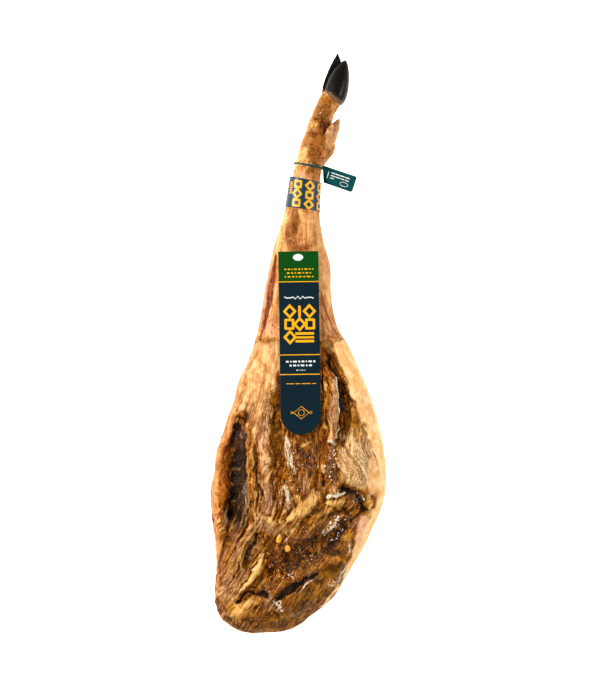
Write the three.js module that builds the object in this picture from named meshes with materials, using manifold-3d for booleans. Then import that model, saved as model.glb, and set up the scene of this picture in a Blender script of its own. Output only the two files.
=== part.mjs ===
// A whole cured ham with its trotter, lying on its skin side with the trimmed face up.
// Millimetres, +Z up, +Y from the rump to the hoof, origin at the bottom centre of its box.
import * as THREE from "three";
import { mergeVertices } from "three/addons/utils/BufferGeometryUtils.js";
import Module from "manifold-3d";

const wasm = await Module();
wasm.setup();

// Spacing of the rings of the ham, and how many points each ring has above and below its rim.
const faceStep = 7;
const shankStep = 14;
const faceEndY = 20;
const pointsAbove = 42;
const pointsBelow = 13;
const clearance = 0.35; // air between pieces that touch
const weldDistance = 1e-4;
const halvings = 30; // steps of the search for a place along the ham

// The ham from the rump to the hoof. Each rib gives the ends of a section in plan,
// the height at which it is widest, and the heights of its top and bottom.
const ribs = [
  { left: [-60, -420], right: [-56, -420], rim: 45, top: 46, bottom: 44 },
  { left: [-80, -418], right: [-35, -418], rim: 45, top: 55, bottom: 35 },
  { left: [-96, -410], right: [-9, -410], rim: 45, top: 67, bottom: 25 },
  { left: [-111, -398], right: [12, -398], rim: 46, top: 79, bottom: 17 },
  { left: [-119.5, -380], right: [37, -380], rim: 48, top: 90, bottom: 9 },
  { left: [-122.5, -360], right: [54, -360], rim: 50, top: 98, bottom: 4 },
  { left: [-120, -325], right: [76, -325], rim: 54, top: 107, bottom: 0 },
  { left: [-121, -290], right: [96, -290], rim: 58, top: 115, bottom: -2 },
  { left: [-126.5, -245], right: [114.5, -245], rim: 60, top: 122, bottom: -3 },
  { left: [-127.5, -205], right: [126, -205], rim: 62, top: 126, bottom: -3 },
  { left: [-119, -160], right: [124, -160], rim: 62, top: 126, bottom: -3 },
  { left: [-106, -120], right: [116.5, -120], rim: 62, top: 125, bottom: -3 },
  { left: [-92.5, -80], right: [104.5, -80], rim: 62, top: 123, bottom: -2 },
  { left: [-87, -56], right: [95.5, -56], rim: 62, top: 121, bottom: 0 },
  { left: [-76, -30], right: [84, -30], rim: 62, top: 118, bottom: 5 },
  { left: [-65, 0], right: [70, 0], rim: 63, top: 114, bottom: 12 },
  { left: [-59.5, 22], right: [56, 22], rim: 64, top: 110, bottom: 18 },
  { left: [-54, 50], right: [49, 50], rim: 66, top: 107, bottom: 27 },
  { left: [-49.5, 80], right: [45.5, 80], rim: 68, top: 104, bottom: 35 },
  { left: [-44.5, 106], right: [46.5, 106], rim: 70, top: 103, bottom: 40 },
  { left: [-40, 125], right: [42, 125], rim: 71, top: 102, bottom: 43 },
  { left: [-34.5, 147], right: [35.5, 147], rim: 72, top: 100, bottom: 46 },
  { left: [-26, 171], right: [31.5, 171], rim: 73, top: 98, bottom: 49 },
  { left: [-19, 197], right: [29.5, 197], rim: 74, top: 97, bottom: 51 },
  { left: [-12.5, 226], right: [30.5, 226], rim: 74, top: 96, bottom: 52 },
  { left: [-6.5, 255], right: [33, 255], rim: 74, top: 95, bottom: 53 },
  { left: [-1.5, 276], right: [45, 274], rim: 74, top: 95, bottom: 53 },
  { left: [6, 298], right: [46.5, 296], rim: 74, top: 95, bottom: 54 },
  { left: [14.5, 321], right: [46.5, 318], rim: 74, top: 94, bottom: 55 },
  { left: [24.5, 344], right: [54.5, 337], rim: 75, top: 94, bottom: 56 },
  { left: [33, 364], right: [65, 351], rim: 75, top: 93, bottom: 57 },
  { left: [42, 367], right: [60, 359.5], rim: 75, top: 85, bottom: 65 },
];
const squareAbove = 2.3; // 2 is a plain ellipse, more is squarer
const squareBelow = 2.1;
const rimFade = 0.3; // share of the height above the rim over which the relief comes in

// Ridges (lift above 0) and furrows (lift below 0) of the upper side, each along its points in plan.
const relief = [
  // the fat rim on the left, the deep channel inside it and the ridges beyond
  { lift: 4, reach: 15, path: [[-100, -118], [-110, -150], [-115, -200], [-115, -250], [-110, -300]] },
  { lift: -12, reach: 19, path: [[-83, -108], [-88, -138], [-90, -175], [-91, -205], [-93, -240]] },
  { lift: -5, reach: 15, path: [[-92, -248], [-100, -272], [-106, -300]] },
  { lift: 4, reach: 11, path: [[-74, -95], [-70, -140], [-68, -185], [-66, -235]] },
  { lift: 4, reach: 15, path: [[-36, -62], [-48, -105], [-50, -150], [-46, -195], [-44, -235]] },
  { lift: -3, reach: 13, path: [[-30, -85], [-33, -120], [-31, -165], [-28, -215]] },
  { lift: 3, reach: 11, path: [[-14, -140], [-12, -175], [-15, -232]] },
  { lift: -5, reach: 11, path: [[-56, -258], [-64, -285], [-76, -315], [-84, -338]] },
  { lift: 4, reach: 11, path: [[-68, -262], [-82, -295], [-98, -335]] },
  // right of the label: a pale crested ridge, the dark groove beside it and the smooth fat rim
  { lift: 5, reach: 11, path: [[41, -38], [47, -75], [50, -105], [48, -138]] },
  { lift: -9, reach: 14, path: [[38, -6], [54, -42], [65, -75], [67, -105], [62, -140]] },
  { lift: 4, reach: 17, path: [[78, -30], [96, -75], [108, -125], [114, -175], [112, -205]] },
  { lift: 4, reach: 22, path: [[84, -155], [87, -190]] },
  { lift: -4, reach: 11, path: [[50, -160], [53, -195]] },
  { lift: -8, reach: 14, path: [[64, -208], [80, -217], [94, -236]] },
  // the pad of fat across the middle and the wet bowl below it
  { lift: 4, reach: 11, path: [[42, -217], [62, -222]] },
  { lift: 6, reach: 15, path: [[-16, -256], [4, -238], [18, -223]] },
  { lift: 3, reach: 10, path: [[20, -262], [30, -247], [48, -236]] },
  { lift: -9, reach: 34, path: [[52, -262], [24, -298], [-16, -318]] },
  { lift: 4, reach: 12, path: [[44, -262], [58, -254]] },
  { lift: -3, reach: 13, path: [[-42, -280], [-40, -325]] },
  // the fat rim at the lower right, and the furrow that cuts across to the rump
  { lift: 5, reach: 14, path: [[106, -238], [96, -266], [84, -292], [72, -318], [54, -345], [30, -370]] },
  { lift: -8, reach: 12, path: [[26, -332], [2, -345], [-20, -361], [-32, -371]] },
  { lift: 3, reach: 18, path: [[10, -372], [-25, -392]] },
  // the tongue of bone at the rump and the slit under it
  { lift: 7, reach: 11, path: [[-56, -318], [-66, -336], [-80, -352], [-90, -362]] },
  { lift: -6, reach: 10, path: [[-50, -358], [-66, -364], [-80, -371], [-90, -378]] },
  { lift: 3, reach: 15, path: [[-62, -384], [-92, -392]] },
  // the ends of the skin, the folds of the shank and the wrinkles of the trotter
  { lift: -2, reach: 9, path: [[-62, 2], [-48, -3], [-32, 2]] },
  { lift: -2, reach: 9, path: [[34, 0], [46, -4], [64, -6]] },
  { lift: -5, reach: 10, path: [[-33, 120], [-39, 88], [-45, 55], [-49, 28], [-52, 8]] },
  { lift: -3, reach: 10, path: [[33, 66], [44, 38], [58, 8]] },
  { lift: -2, reach: 9, path: [[36, 300], [40, 322]] },
  { lift: 2, reach: 11, path: [[6, 279], [30, 281]] },
  { lift: 2, reach: 14, path: [[14, 302], [32, 304]] },
];

// Claws of the hoof: the front wall and the sole side in plan, and the depth away from the cleft.
const nearClaw = {
  cleft: 76.4,
  outward: 1,
  ribs: [
    { front: [35, 358], sole: [61.5, 343.5], depth: 17 },
    { front: [36.5, 365], sole: [65.5, 347.5], depth: 20.5 },
    { front: [38.5, 373], sole: [70, 357], depth: 20 },
    { front: [42.5, 384], sole: [72.4, 371], depth: 17.5 },
    { front: [48, 393.5], sole: [73, 384], depth: 14.5 },
    { front: [54.5, 401.5], sole: [72.3, 395.5], depth: 11 },
    { front: [61, 407], sole: [70.8, 403.8], depth: 7 },
    { front: [66.3, 409.8], sole: [68.4, 409], depth: 2.5 },
  ],
};
const farClaw = {
  cleft: 74.6,
  outward: -1,
  ribs: [
    { front: [32, 360], sole: [58, 346], depth: 17 },
    { front: [33.2, 366], sole: [62, 350], depth: 20.5 },
    { front: [34.4, 374], sole: [66.5, 361], depth: 20 },
    { front: [38.4, 385.5], sole: [67.5, 376], depth: 17.5 },
    { front: [43.2, 397], sole: [66, 390], depth: 14.5 },
    { front: [48.4, 407.8], sole: [62.3, 403.5], depth: 11 },
    { front: [52.6, 415], sole: [59.4, 412.6], depth: 7 },
    { front: [55.4, 419.4], sole: [56.8, 418.8], depth: 2.5 },
  ],
};
const clawSides = 16;
const cleftBulge = 0.03; // share of a claw's depth by which its inner face is rounded
const clawFullness = 0.7; // below 1 makes the outer side of a claw squarer than an ellipse

// Dewclaws: blunt horns behind the pastern, each from its root to its tip.
const nearDewclaw = { root: [29, 284, 82], tip: [51.5, 318.5, 88], radius: 9 };
const farDewclaw = { root: [37, 283, 66], tip: [60, 328.5, 63], radius: 11 };
const hornSides = 14;
const hornRows = 7;
const hornBluntness = 2.4;
const hornFullness = 0.8;

// The paper sleeve round the shank, standing off the skin at its upper left.
const sleeve = {
  lowerLeftY: 198,
  lowerRightY: 190,
  upperLeftY: 241.5,
  upperRightY: 231.5,
  standOff: 0.8,
  flare: 3.2,
  thickness: 0.8,
  rows: 3,
  sides: 40,
};

// The seal: a strap round the shank and the moulded plate that it holds.
const strap = { leftY: 261, rightY: 252.5, width: 2.4, standOff: 0.9, thickness: 1.5, sides: 40 };
const plate = {
  corner: [34.3, 257.6], // its upper left corner in plan
  length: 53.5,
  width: 23.6,
  slant: 9.5, // how much shorter its lower edge is
  thickness: 2,
  cornerRadius: 3,
  turn: -18.2, // degrees in plan
  droop: 12, // degrees below level at its free end
  height: 79, // of its upper side at the strap
};

// The card on the front: straight sides, a round lower end, and bent along its length over the ham.
const card = {
  top: [-1, 132.3],
  width: 57.6,
  length: 262,
  lean: 0.85, // degrees from the line of the leg
  thickness: 0.8,
  gap: 0.9, // from the ham to its back
  reach: 13, // how far along the ham a bump lifts it
  margin: 6, // how far beside it a bump still counts
  rows: 24,
  endRows: 9,
  endFlat: 0.35, // share of a row that its round end leaves off
};

const colours = {
  cured: 0xc98a4b,
  horn: 0x16120f,
  paleHorn: 0xc58f52,
  paper: 0x1d3340,
  plastic: 0x0b4f4f,
  board: 0x0e2a3a,
};

function smooth(from, to, value) {
  return THREE.MathUtils.smoothstep(value, from, to);
}

// Joins rings of points into one surface that closes on itself, or is capped at both ends.
function loft(rings, ringed = false) {
  const count = rings[0].length;
  const points = rings.flat();
  const index = [];
  const spans = ringed ? rings.length : rings.length - 1;
  for (let i = 0; i < spans; i++) {
    const a = i * count;
    const b = ((i + 1) % rings.length) * count;
    for (let j = 0; j < count; j++) {
      const k = (j + 1) % count;
      index.push(a + j, b + j, a + k);
      index.push(a + k, b + j, b + k);
    }
  }
  if (!ringed) {
    const last = (rings.length - 1) * count;
    const first = points.push(middleOf(rings[0])) - 1;
    const end = points.push(middleOf(rings.at(-1))) - 1;
    for (let j = 0; j < count; j++) {
      const k = (j + 1) % count;
      index.push(first, j, k);
      index.push(end, last + k, last + j);
    }
  }
  const geometry = new THREE.BufferGeometry().setFromPoints(points);
  geometry.setIndex(index);
  geometry.computeVertexNormals();
  return geometry;
}

function middleOf(points) {
  const sum = new THREE.Vector3();
  for (const point of points) sum.add(point);
  return sum.divideScalar(points.length);
}

// Solids for joining and cutting.
function solidOf(geometry) {
  const bare = geometry.clone();
  bare.deleteAttribute("normal");
  bare.deleteAttribute("uv");
  const merged = mergeVertices(bare, weldDistance);
  return new wasm.Manifold(
    new wasm.Mesh({
      numProp: 3,
      vertProperties: new Float32Array(merged.attributes.position.array),
      triVerts: new Uint32Array(merged.index.array),
    }),
  );
}

function geometryOf(solid) {
  const mesh = solid.getMesh();
  const geometry = new THREE.BufferGeometry();
  geometry.setAttribute("position", new THREE.BufferAttribute(mesh.vertProperties, 3));
  geometry.setIndex(new THREE.BufferAttribute(mesh.triVerts, 1));
  geometry.computeVertexNormals();
  return geometry;
}

// The smooth form of the ham: curves through the ribs, all read at the same share of the way along.
const leftRail = new THREE.CatmullRomCurve3(ribs.map((rib) => new THREE.Vector3(...rib.left, 0)));
const rightRail = new THREE.CatmullRomCurve3(ribs.map((rib) => new THREE.Vector3(...rib.right, 0)));
const heights = new THREE.CatmullRomCurve3(
  ribs.map((rib) => new THREE.Vector3(rib.rim, rib.top, rib.bottom)),
);

function sectionAt(share) {
  const left = leftRail.getPoint(share);
  const right = rightRail.getPoint(share);
  const [rim, top, bottom] = heights.getPoint(share).toArray();
  const middle = left.clone().add(right).multiplyScalar(0.5);
  const half = right.clone().sub(left).multiplyScalar(0.5);
  return { middle, half, rim, top, bottom };
}

// Share of the way along at which the middle of the ham reaches this Y.
function shareAt(y) {
  let low = 0;
  let high = 1;
  for (let i = 0; i < halvings; i++) {
    const share = (low + high) / 2;
    if (sectionAt(share).middle.y < y) low = share;
    else high = share;
  }
  return low;
}

// Points spread evenly along a squared half ellipse, from its right end over to its left.
function arch(halfWidth, height, squareness, count) {
  const fine = 240;
  const curve = [];
  for (let i = 0; i <= fine; i++) {
    const angle = (Math.PI * i) / fine;
    const cosine = Math.cos(angle);
    const across = Math.sign(cosine) * Math.abs(cosine) ** (2 / squareness);
    curve.push(new THREE.Vector2(across * halfWidth, Math.sin(angle) ** (2 / squareness) * height));
  }
  const lengths = [0];
  for (let i = 1; i <= fine; i++) lengths.push(lengths[i - 1] + curve[i].distanceTo(curve[i - 1]));
  const points = [];
  let at = 0;
  for (let i = 0; i <= count; i++) {
    const wanted = (lengths[fine] * i) / count;
    while (at < fine - 1 && lengths[at + 1] < wanted) at++;
    const part = (wanted - lengths[at]) / (lengths[at + 1] - lengths[at]);
    points.push(curve[at].clone().lerp(curve[at + 1], part));
  }
  return points;
}

function distanceToPath(x, y, path) {
  let best = Infinity;
  for (let i = 1; i < path.length; i++) {
    const [ax, ay] = path[i - 1];
    const [bx, by] = path[i];
    const along = ((x - ax) * (bx - ax) + (y - ay) * (by - ay)) / ((bx - ax) ** 2 + (by - ay) ** 2);
    const t = THREE.MathUtils.clamp(along, 0, 1);
    best = Math.min(best, Math.hypot(x - ax - t * (bx - ax), y - ay - t * (by - ay)));
  }
  return best;
}

function reliefAt(x, y) {
  let lift = 0;
  for (const stroke of relief) {
    const distance = distanceToPath(x, y, stroke.path);
    if (distance < stroke.reach) lift += stroke.lift * Math.cos((Math.PI * distance) / (2 * stroke.reach)) ** 2;
  }
  return lift;
}

// One ring of the ham. Growing it by a little gives the shape that its neighbours keep clear of.
function hamRing(share, grow = 0) {
  const { middle, half, rim, top, bottom } = sectionAt(share);
  const width = half.length() + grow;
  const sideways = half.clone().normalize();
  const place = (across, z) => middle.clone().addScaledVector(sideways, across).setZ(z);
  const ring = [];
  const upper = arch(width, top - rim + grow, squareAbove, pointsAbove);
  for (const { x: across, y: up } of upper) {
    const point = place(across, rim + up);
    const fade = smooth(0, rimFade, up / (top - rim));
    point.z += fade * reliefAt(point.x, point.y);
    ring.push(point);
  }
  const lower = arch(width, rim - bottom + grow, squareBelow, pointsBelow);
  for (const { x: across, y: down } of lower.slice(1, -1).reverse()) {
    ring.push(place(across, Math.max(0, rim - down)));
  }
  return ring;
}

function hamShares() {
  const shares = [];
  const last = ribs.length - 1;
  for (let i = 0; i < last; i++) {
    const from = sectionAt(i / last).middle;
    const to = sectionAt((i + 1) / last).middle;
    const step = from.y < faceEndY ? faceStep : shankStep;
    const rows = Math.max(1, Math.round(from.distanceTo(to) / step));
    for (let row = 0; row < rows; row++) shares.push((i + row / rows) / last);
  }
  shares.push(1);
  return shares;
}

function hamGeometry(grow = 0) {
  return loft(hamShares().map((share) => hamRing(share, grow)));
}

const grownHam = solidOf(hamGeometry(clearance));

function clawGeometry(claw) {
  const rings = claw.ribs.map(({ front, sole, depth }) => {
    const ring = [];
    for (let i = 0; i < clawSides; i++) {
      const angle = (2 * Math.PI * i) / clawSides;
      const across = (1 - Math.cos(angle)) / 2;
      const swell = Math.sin(angle);
      const out = swell > 0 ? depth * swell ** clawFullness : depth * cleftBulge * swell;
      ring.push(
        new THREE.Vector3(
          THREE.MathUtils.lerp(front[0], sole[0], across),
          THREE.MathUtils.lerp(front[1], sole[1], across),
          claw.cleft + claw.outward * out,
        ),
      );
    }
    return claw.outward > 0 ? ring.reverse() : ring;
  });
  return geometryOf(solidOf(loft(rings)).subtract(grownHam));
}

function dewclawGeometry({ root, tip, radius }) {
  const from = new THREE.Vector3(...root);
  const along = new THREE.Vector3(...tip).sub(from);
  const length = along.length();
  const profile = [new THREE.Vector2(0, 0)];
  for (let i = 0; i < hornRows; i++) {
    const share = i / hornRows;
    profile.push(new THREE.Vector2(radius * (1 - share ** hornBluntness) ** hornFullness, share * length));
  }
  profile.push(new THREE.Vector2(0, length));
  const horn = new THREE.LatheGeometry(profile, hornSides);
  const upright = new THREE.Vector3(0, 1, 0);
  horn.applyQuaternion(new THREE.Quaternion().setFromUnitVectors(upright, along.normalize()));
  horn.translate(from.x, from.y, from.z);
  return geometryOf(solidOf(horn).subtract(grownHam));
}

// A point on a smooth outline round the shank, standing off the skin; its angle starts at the right.
function aroundShank(y, angle, standOff) {
  const { middle, half, rim, top, bottom } = sectionAt(shareAt(y));
  const cosine = Math.cos(angle);
  const sine = Math.sin(angle);
  const squareness = sine > 0 ? squareAbove : squareBelow;
  const height = (sine > 0 ? top - rim : rim - bottom) + standOff;
  const across = Math.sign(cosine) * Math.abs(cosine) ** (2 / squareness) * (half.length() + standOff);
  const up = Math.sign(sine) * Math.abs(sine) ** (2 / squareness) * height;
  return new THREE.Vector3(middle.x + across, y, rim + up);
}

function sleeveGeometry() {
  const rings = [];
  for (let i = 0; i < sleeve.sides; i++) {
    const angle = (2 * Math.PI * i) / sleeve.sides;
    const rightness = (1 + Math.cos(angle)) / 2;
    const lowerY = THREE.MathUtils.lerp(sleeve.lowerLeftY, sleeve.lowerRightY, rightness);
    const upperY = THREE.MathUtils.lerp(sleeve.upperLeftY, sleeve.upperRightY, rightness);
    const flare = sleeve.flare * smooth(-0.2, 1, -Math.cos(angle)) * smooth(-0.6, 0.4, Math.sin(angle));
    const inner = [];
    const outer = [];
    for (let row = 0; row < sleeve.rows; row++) {
      const share = row / (sleeve.rows - 1);
      const y = THREE.MathUtils.lerp(lowerY, upperY, share);
      const standOff = sleeve.standOff + flare * share;
      inner.push(aroundShank(y, angle, standOff));
      outer.push(aroundShank(y, angle, standOff + sleeve.thickness));
    }
    rings.push([...outer.reverse(), ...inner]);
  }
  return loft(rings, true);
}

function strapGeometry() {
  const rings = [];
  for (let i = 0; i < strap.sides; i++) {
    const angle = (2 * Math.PI * i) / strap.sides;
    const y = THREE.MathUtils.lerp(strap.leftY, strap.rightY, (1 + Math.cos(angle)) / 2);
    const outside = strap.standOff + strap.thickness;
    rings.push([
      aroundShank(y + strap.width / 2, angle, outside),
      aroundShank(y - strap.width / 2, angle, outside),
      aroundShank(y - strap.width / 2, angle, strap.standOff),
      aroundShank(y + strap.width / 2, angle, strap.standOff),
    ]);
  }
  return loft(rings, true);
}

// The plate's outline has its upper left corner at the origin and its free end rounded.
function plateGeometry() {
  const { length, width, slant, cornerRadius: r } = plate;
  const outline = new THREE.Shape();
  outline.moveTo(0, 0);
  outline.lineTo(slant, -width);
  outline.lineTo(length - r, -width);
  outline.absarc(length - r, r - width, r, -Math.PI / 2, 0, false);
  outline.absarc(length - r, -r, r, 0, Math.PI / 2, false);
  const geometry = new THREE.ExtrudeGeometry(outline, {
    depth: plate.thickness,
    bevelEnabled: false,
    curveSegments: 4,
  });
  geometry.translate(0, 0, -plate.thickness);
  geometry.rotateY(THREE.MathUtils.degToRad(plate.droop));
  geometry.rotateZ(THREE.MathUtils.degToRad(plate.turn));
  geometry.translate(...plate.corner, plate.height);
  return geometry;
}

function sealGeometry() {
  return geometryOf(solidOf(plateGeometry()).subtract(grownHam).add(solidOf(strapGeometry())));
}

// Height of the card's back over the ham at each Y: the highest point near it, then evened out.
function cardHeights(stations, hamPoints) {
  const highest = stations.map((station) => {
    let best = 0;
    for (let i = 0; i < hamPoints.count; i++) {
      const along = Math.abs(hamPoints.getY(i) - station);
      const aside = Math.abs(hamPoints.getX(i));
      if (along < card.reach && aside < card.width / 2 + card.margin) best = Math.max(best, hamPoints.getZ(i));
    }
    return best;
  });
  return highest.map((_, i) => {
    const around = highest.slice(Math.max(0, i - 1), i + 2);
    return card.gap + around.reduce((sum, height) => sum + height, 0) / around.length;
  });
}

function cardGeometry(hamPoints) {
  const radius = card.width / 2;
  const straight = card.length - radius;
  const rows = [];
  for (let i = 0; i <= card.rows; i++) rows.push({ down: (straight * i) / card.rows, half: radius });
  for (let i = 1; i <= card.endRows; i++) {
    const angle = (Math.PI / 2) * (i / (card.endRows + card.endFlat));
    rows.push({ down: straight + radius * Math.sin(angle), half: radius * Math.cos(angle) });
  }
  const lean = THREE.MathUtils.degToRad(card.lean);
  const stations = rows.map(({ down }) => card.top[1] - down * Math.cos(lean));
  const backs = cardHeights(stations, hamPoints);
  const rings = rows.map(({ down, half }, i) => {
    const x = card.top[0] + down * Math.sin(lean);
    const across = new THREE.Vector3(Math.cos(lean), Math.sin(lean), 0).multiplyScalar(half);
    const back = new THREE.Vector3(x, stations[i], backs[i]);
    const front = back.clone().setZ(backs[i] + card.thickness);
    return [
      front.clone().sub(across),
      front.clone().add(across),
      back.clone().add(across),
      back.clone().sub(across),
    ];
  });
  return loft(rings);
}

function named(name, geometry, colour, roughness) {
  const material = new THREE.MeshStandardMaterial({ color: colour, roughness, metalness: 0 });
  const mesh = new THREE.Mesh(geometry, material);
  mesh.name = name;
  return mesh;
}

const group = new THREE.Group();
const ham = hamGeometry();
group.add(named("ham", ham, colours.cured, 0.45));
group.add(named("claw_near", clawGeometry(nearClaw), colours.horn, 0.4));
group.add(named("claw_far", clawGeometry(farClaw), colours.horn, 0.4));
group.add(named("dewclaw_near", dewclawGeometry(nearDewclaw), colours.paleHorn, 0.5));
group.add(named("dewclaw_far", dewclawGeometry(farDewclaw), colours.paleHorn, 0.5));
group.add(named("shank_band", sleeveGeometry(), colours.paper, 0.5));
group.add(named("seal_tag", sealGeometry(), colours.plastic, 0.4));
group.add(named("long_label", cardGeometry(ham.attributes.position), colours.board, 0.45));

export default group;
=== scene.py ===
# Cured ham with its trotter, lying on its skin with the trimmed face up.
# Places in the dictionaries are millimetres in the frame's own axes: +X right, +Y to the hoof, +Z up.
import itertools
import math
import bmesh
import bpy
import numpy as np
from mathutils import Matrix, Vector


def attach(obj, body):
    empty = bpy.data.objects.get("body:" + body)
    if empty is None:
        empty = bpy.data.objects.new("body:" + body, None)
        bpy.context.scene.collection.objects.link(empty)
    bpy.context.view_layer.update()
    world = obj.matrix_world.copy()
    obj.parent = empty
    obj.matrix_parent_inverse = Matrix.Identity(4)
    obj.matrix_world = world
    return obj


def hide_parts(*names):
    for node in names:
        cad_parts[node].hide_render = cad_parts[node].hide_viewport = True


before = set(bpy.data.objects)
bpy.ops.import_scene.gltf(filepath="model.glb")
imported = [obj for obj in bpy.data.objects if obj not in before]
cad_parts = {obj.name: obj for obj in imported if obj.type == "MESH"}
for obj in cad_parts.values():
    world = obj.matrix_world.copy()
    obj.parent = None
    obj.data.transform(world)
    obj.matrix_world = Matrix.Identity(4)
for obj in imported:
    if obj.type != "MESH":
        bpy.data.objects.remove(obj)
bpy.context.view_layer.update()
millimetre = 0.001
print("frame loaded:", ", ".join(sorted(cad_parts)))


# Small helpers

def linearFromHex(code):
    channels = [int(code[i:i + 2], 16) / 255 for i in (1, 3, 5)]
    linear = [c / 12.92 if c <= 0.04045 else ((c + 0.055) / 1.055) ** 2.4 for c in channels]
    return (*linear, 1.0)


def addNode(tree, kind, settings=None, values=None, links=None):
    node = tree.nodes.new(kind)
    for name, value in (settings or {}).items():
        setattr(node, name, value)
    for socket, value in (values or {}).items():
        node.inputs[socket].default_value = value
    for socket, source in (links or {}).items():
        # A node given in place of a socket stands for the first output that it has in use.
        if isinstance(source, bpy.types.Node):
            source = next(output for output in source.outputs if output.enabled)
        tree.links.new(source, node.inputs[socket])
    return node


def newMaterial(name, values=None):
    material = bpy.data.materials.new(name)
    material.use_nodes = True
    shader = material.node_tree.nodes["Principled BSDF"]
    for socket, value in (values or {}).items():
        shader.inputs[socket].default_value = value
    return material, material.node_tree, shader


def newPiece(name, mesh, *materials):
    piece = bpy.data.objects.new(name, mesh)
    bpy.context.scene.collection.objects.link(piece)
    for material in materials:
        mesh.materials.append(material)
    return piece


def finishPiece(piece, node=None):
    # Every piece rides with the one body, and a dressed node's own piece takes its place.
    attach(piece, "root")
    if node:
        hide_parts(node)


def shadeSmooth(mesh):
    for polygon in mesh.polygons:
        polygon.use_smooth = True


def evaluatedMesh(piece, name):
    # What the modifiers make of the piece, as a plain mesh.
    graph = bpy.context.evaluated_depsgraph_get()
    graph.update()
    mesh = bpy.data.meshes.new_from_object(piece.evaluated_get(graph))
    mesh.name = name
    return mesh


def pointsOf(mesh):
    flat = np.empty(len(mesh.vertices) * 3, dtype=np.float32)
    mesh.vertices.foreach_get("co", flat)
    return flat.reshape(-1, 3).astype(float) / millimetre


def normalsOf(mesh):
    flat = np.empty(len(mesh.vertices) * 3, dtype=np.float32)
    mesh.vertex_normals.foreach_get("vector", flat)
    return flat.reshape(-1, 3).astype(float)


def movePoints(mesh, points):
    mesh.vertices.foreach_set("co", (points * millimetre).astype(np.float32).ravel())
    mesh.update()


def storeField(mesh, name, values):
    field = mesh.attributes.new(name, "FLOAT", "POINT")
    field.data.foreach_set("value", np.ascontiguousarray(values, dtype=np.float32))


def storePlaces(mesh, name, places):
    field = mesh.attributes.new(name, "FLOAT_VECTOR", "POINT")
    field.data.foreach_set("vector", np.ascontiguousarray(places, dtype=np.float32).ravel())


def smoothStep(low, high, values):
    part = np.clip((values - low) / (high - low), 0, 1)
    return part * part * (3 - 2 * part)


def lumps(places, size, seed=0):
    # Soft random lumps between -1 and 1, one every size millimetres; the same for the same seed.
    cell = np.asarray(places, dtype=float) / size
    low = np.floor(cell).astype(np.int64)
    part = cell - low
    part = part * part * (3 - 2 * part)
    total = np.zeros(len(cell))
    for corner in itertools.product((0, 1), repeat=3):
        at = low + np.array(corner)
        code = (at[:, 0] * 73856093) ^ (at[:, 1] * 19349663) ^ (at[:, 2] * 83492791) ^ (seed * 40503 + 977)
        code = ((code ^ (code >> 13)) * 1274126177) & 0xFFFFFFFF
        code = ((code ^ (code >> 15)) * 668265263) & 0xFFFFFFFF
        share = np.where(corner, part, 1 - part).prod(axis=1)
        total += share * ((code & 0xFFFF) / 32767.5 - 1)
    return total


def refinedMesh(node, levels, creaseAngle=None, cutsAlong=0):
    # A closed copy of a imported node, its triangles paired to quads and subdivided.
    shape = bmesh.new()
    shape.from_mesh(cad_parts[node].data)
    bmesh.ops.remove_doubles(shape, verts=shape.verts, dist=0.01 * millimetre)
    bmesh.ops.join_triangles(
        shape, faces=shape.faces, angle_face_threshold=math.pi, angle_shape_threshold=math.pi)
    if cutsAlong:
        along = [e for e in shape.edges if abs(e.verts[0].co.y - e.verts[1].co.y) > 0.7 * e.calc_length()]
        bmesh.ops.subdivide_edges(shape, edges=along, cuts=cutsAlong, use_grid_fill=True)
    if creaseAngle:
        crease = shape.edges.layers.float.new("crease_edge")
        for edge in shape.edges:
            edge[crease] = 1.0 if edge.calc_face_angle(0) > creaseAngle else 0.0
    mesh = bpy.data.meshes.new(node + "Coarse")
    shape.to_mesh(mesh)
    shape.free()
    piece = newPiece(node + "Coarse", mesh)
    subdivision = piece.modifiers.new("smooth", "SUBSURF")
    subdivision.levels = subdivision.render_levels = levels
    fine = evaluatedMesh(piece, node + "Fine")
    bpy.data.objects.remove(piece)
    fine.materials.clear()
    shadeSmooth(fine)
    return fine


# Camera, straight above, its frame fitted to the silhouette in the photograph

cameraPlan = {
    "lens": 150.0,
    "sensor": 36.0,
    "millimetresPerPixel": 1.45,
    "imageSize": (600, 683),
    "legCentre": (299.0, 343.5),  # pixel that looks at the origin of the frame
    "rimHeight": 62.0,  # height at which that scale holds
    "sightLimit": 50.0,  # metres
}


def placeCamera(plan):
    width, height = plan["imageSize"]
    distance = plan["lens"] / plan["sensor"] * height * plan["millimetresPerPixel"]
    x = (width / 2 - plan["legCentre"][0]) * plan["millimetresPerPixel"]
    y = (plan["legCentre"][1] - height / 2) * plan["millimetresPerPixel"]
    camera = bpy.data.objects.new("camera", bpy.data.cameras.new("camera"))
    camera.data.lens = plan["lens"]
    camera.data.sensor_width = plan["sensor"]
    camera.data.clip_end = plan["sightLimit"]
    camera.location = Vector((x, y, plan["rimHeight"] + distance)) * millimetre
    bpy.context.scene.collection.objects.link(camera)
    bpy.context.scene.camera = camera


placeCamera(cameraPlan)


# Light and floor

studio = {
    "worldColour": "#FFF0E0",
    "worldStrength": (0.34, 0.03),  # at the horizon and overhead
    "worldFade": (0.15, 0.9),  # between these heights of a ray's direction
    "floorColour": "#F7F5F2",
    "floorGlow": 0.92,
    "floorSize": 10000.0,
    "floorDrop": 0.4,  # below the ham, so that the two never share a face
    "lampColour": "#FFFDF9",
    # place, aim, size and watts of each soft box
    "boxes": [
        ((-1450, 700, 1350), (0, -60, 60), 260, 61),
        ((1500, 300, 1200), (0, -60, 60), 800, 21),
        ((-300, -1700, 1300), (0, -100, 60), 500, 12),
    ],
}


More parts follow.
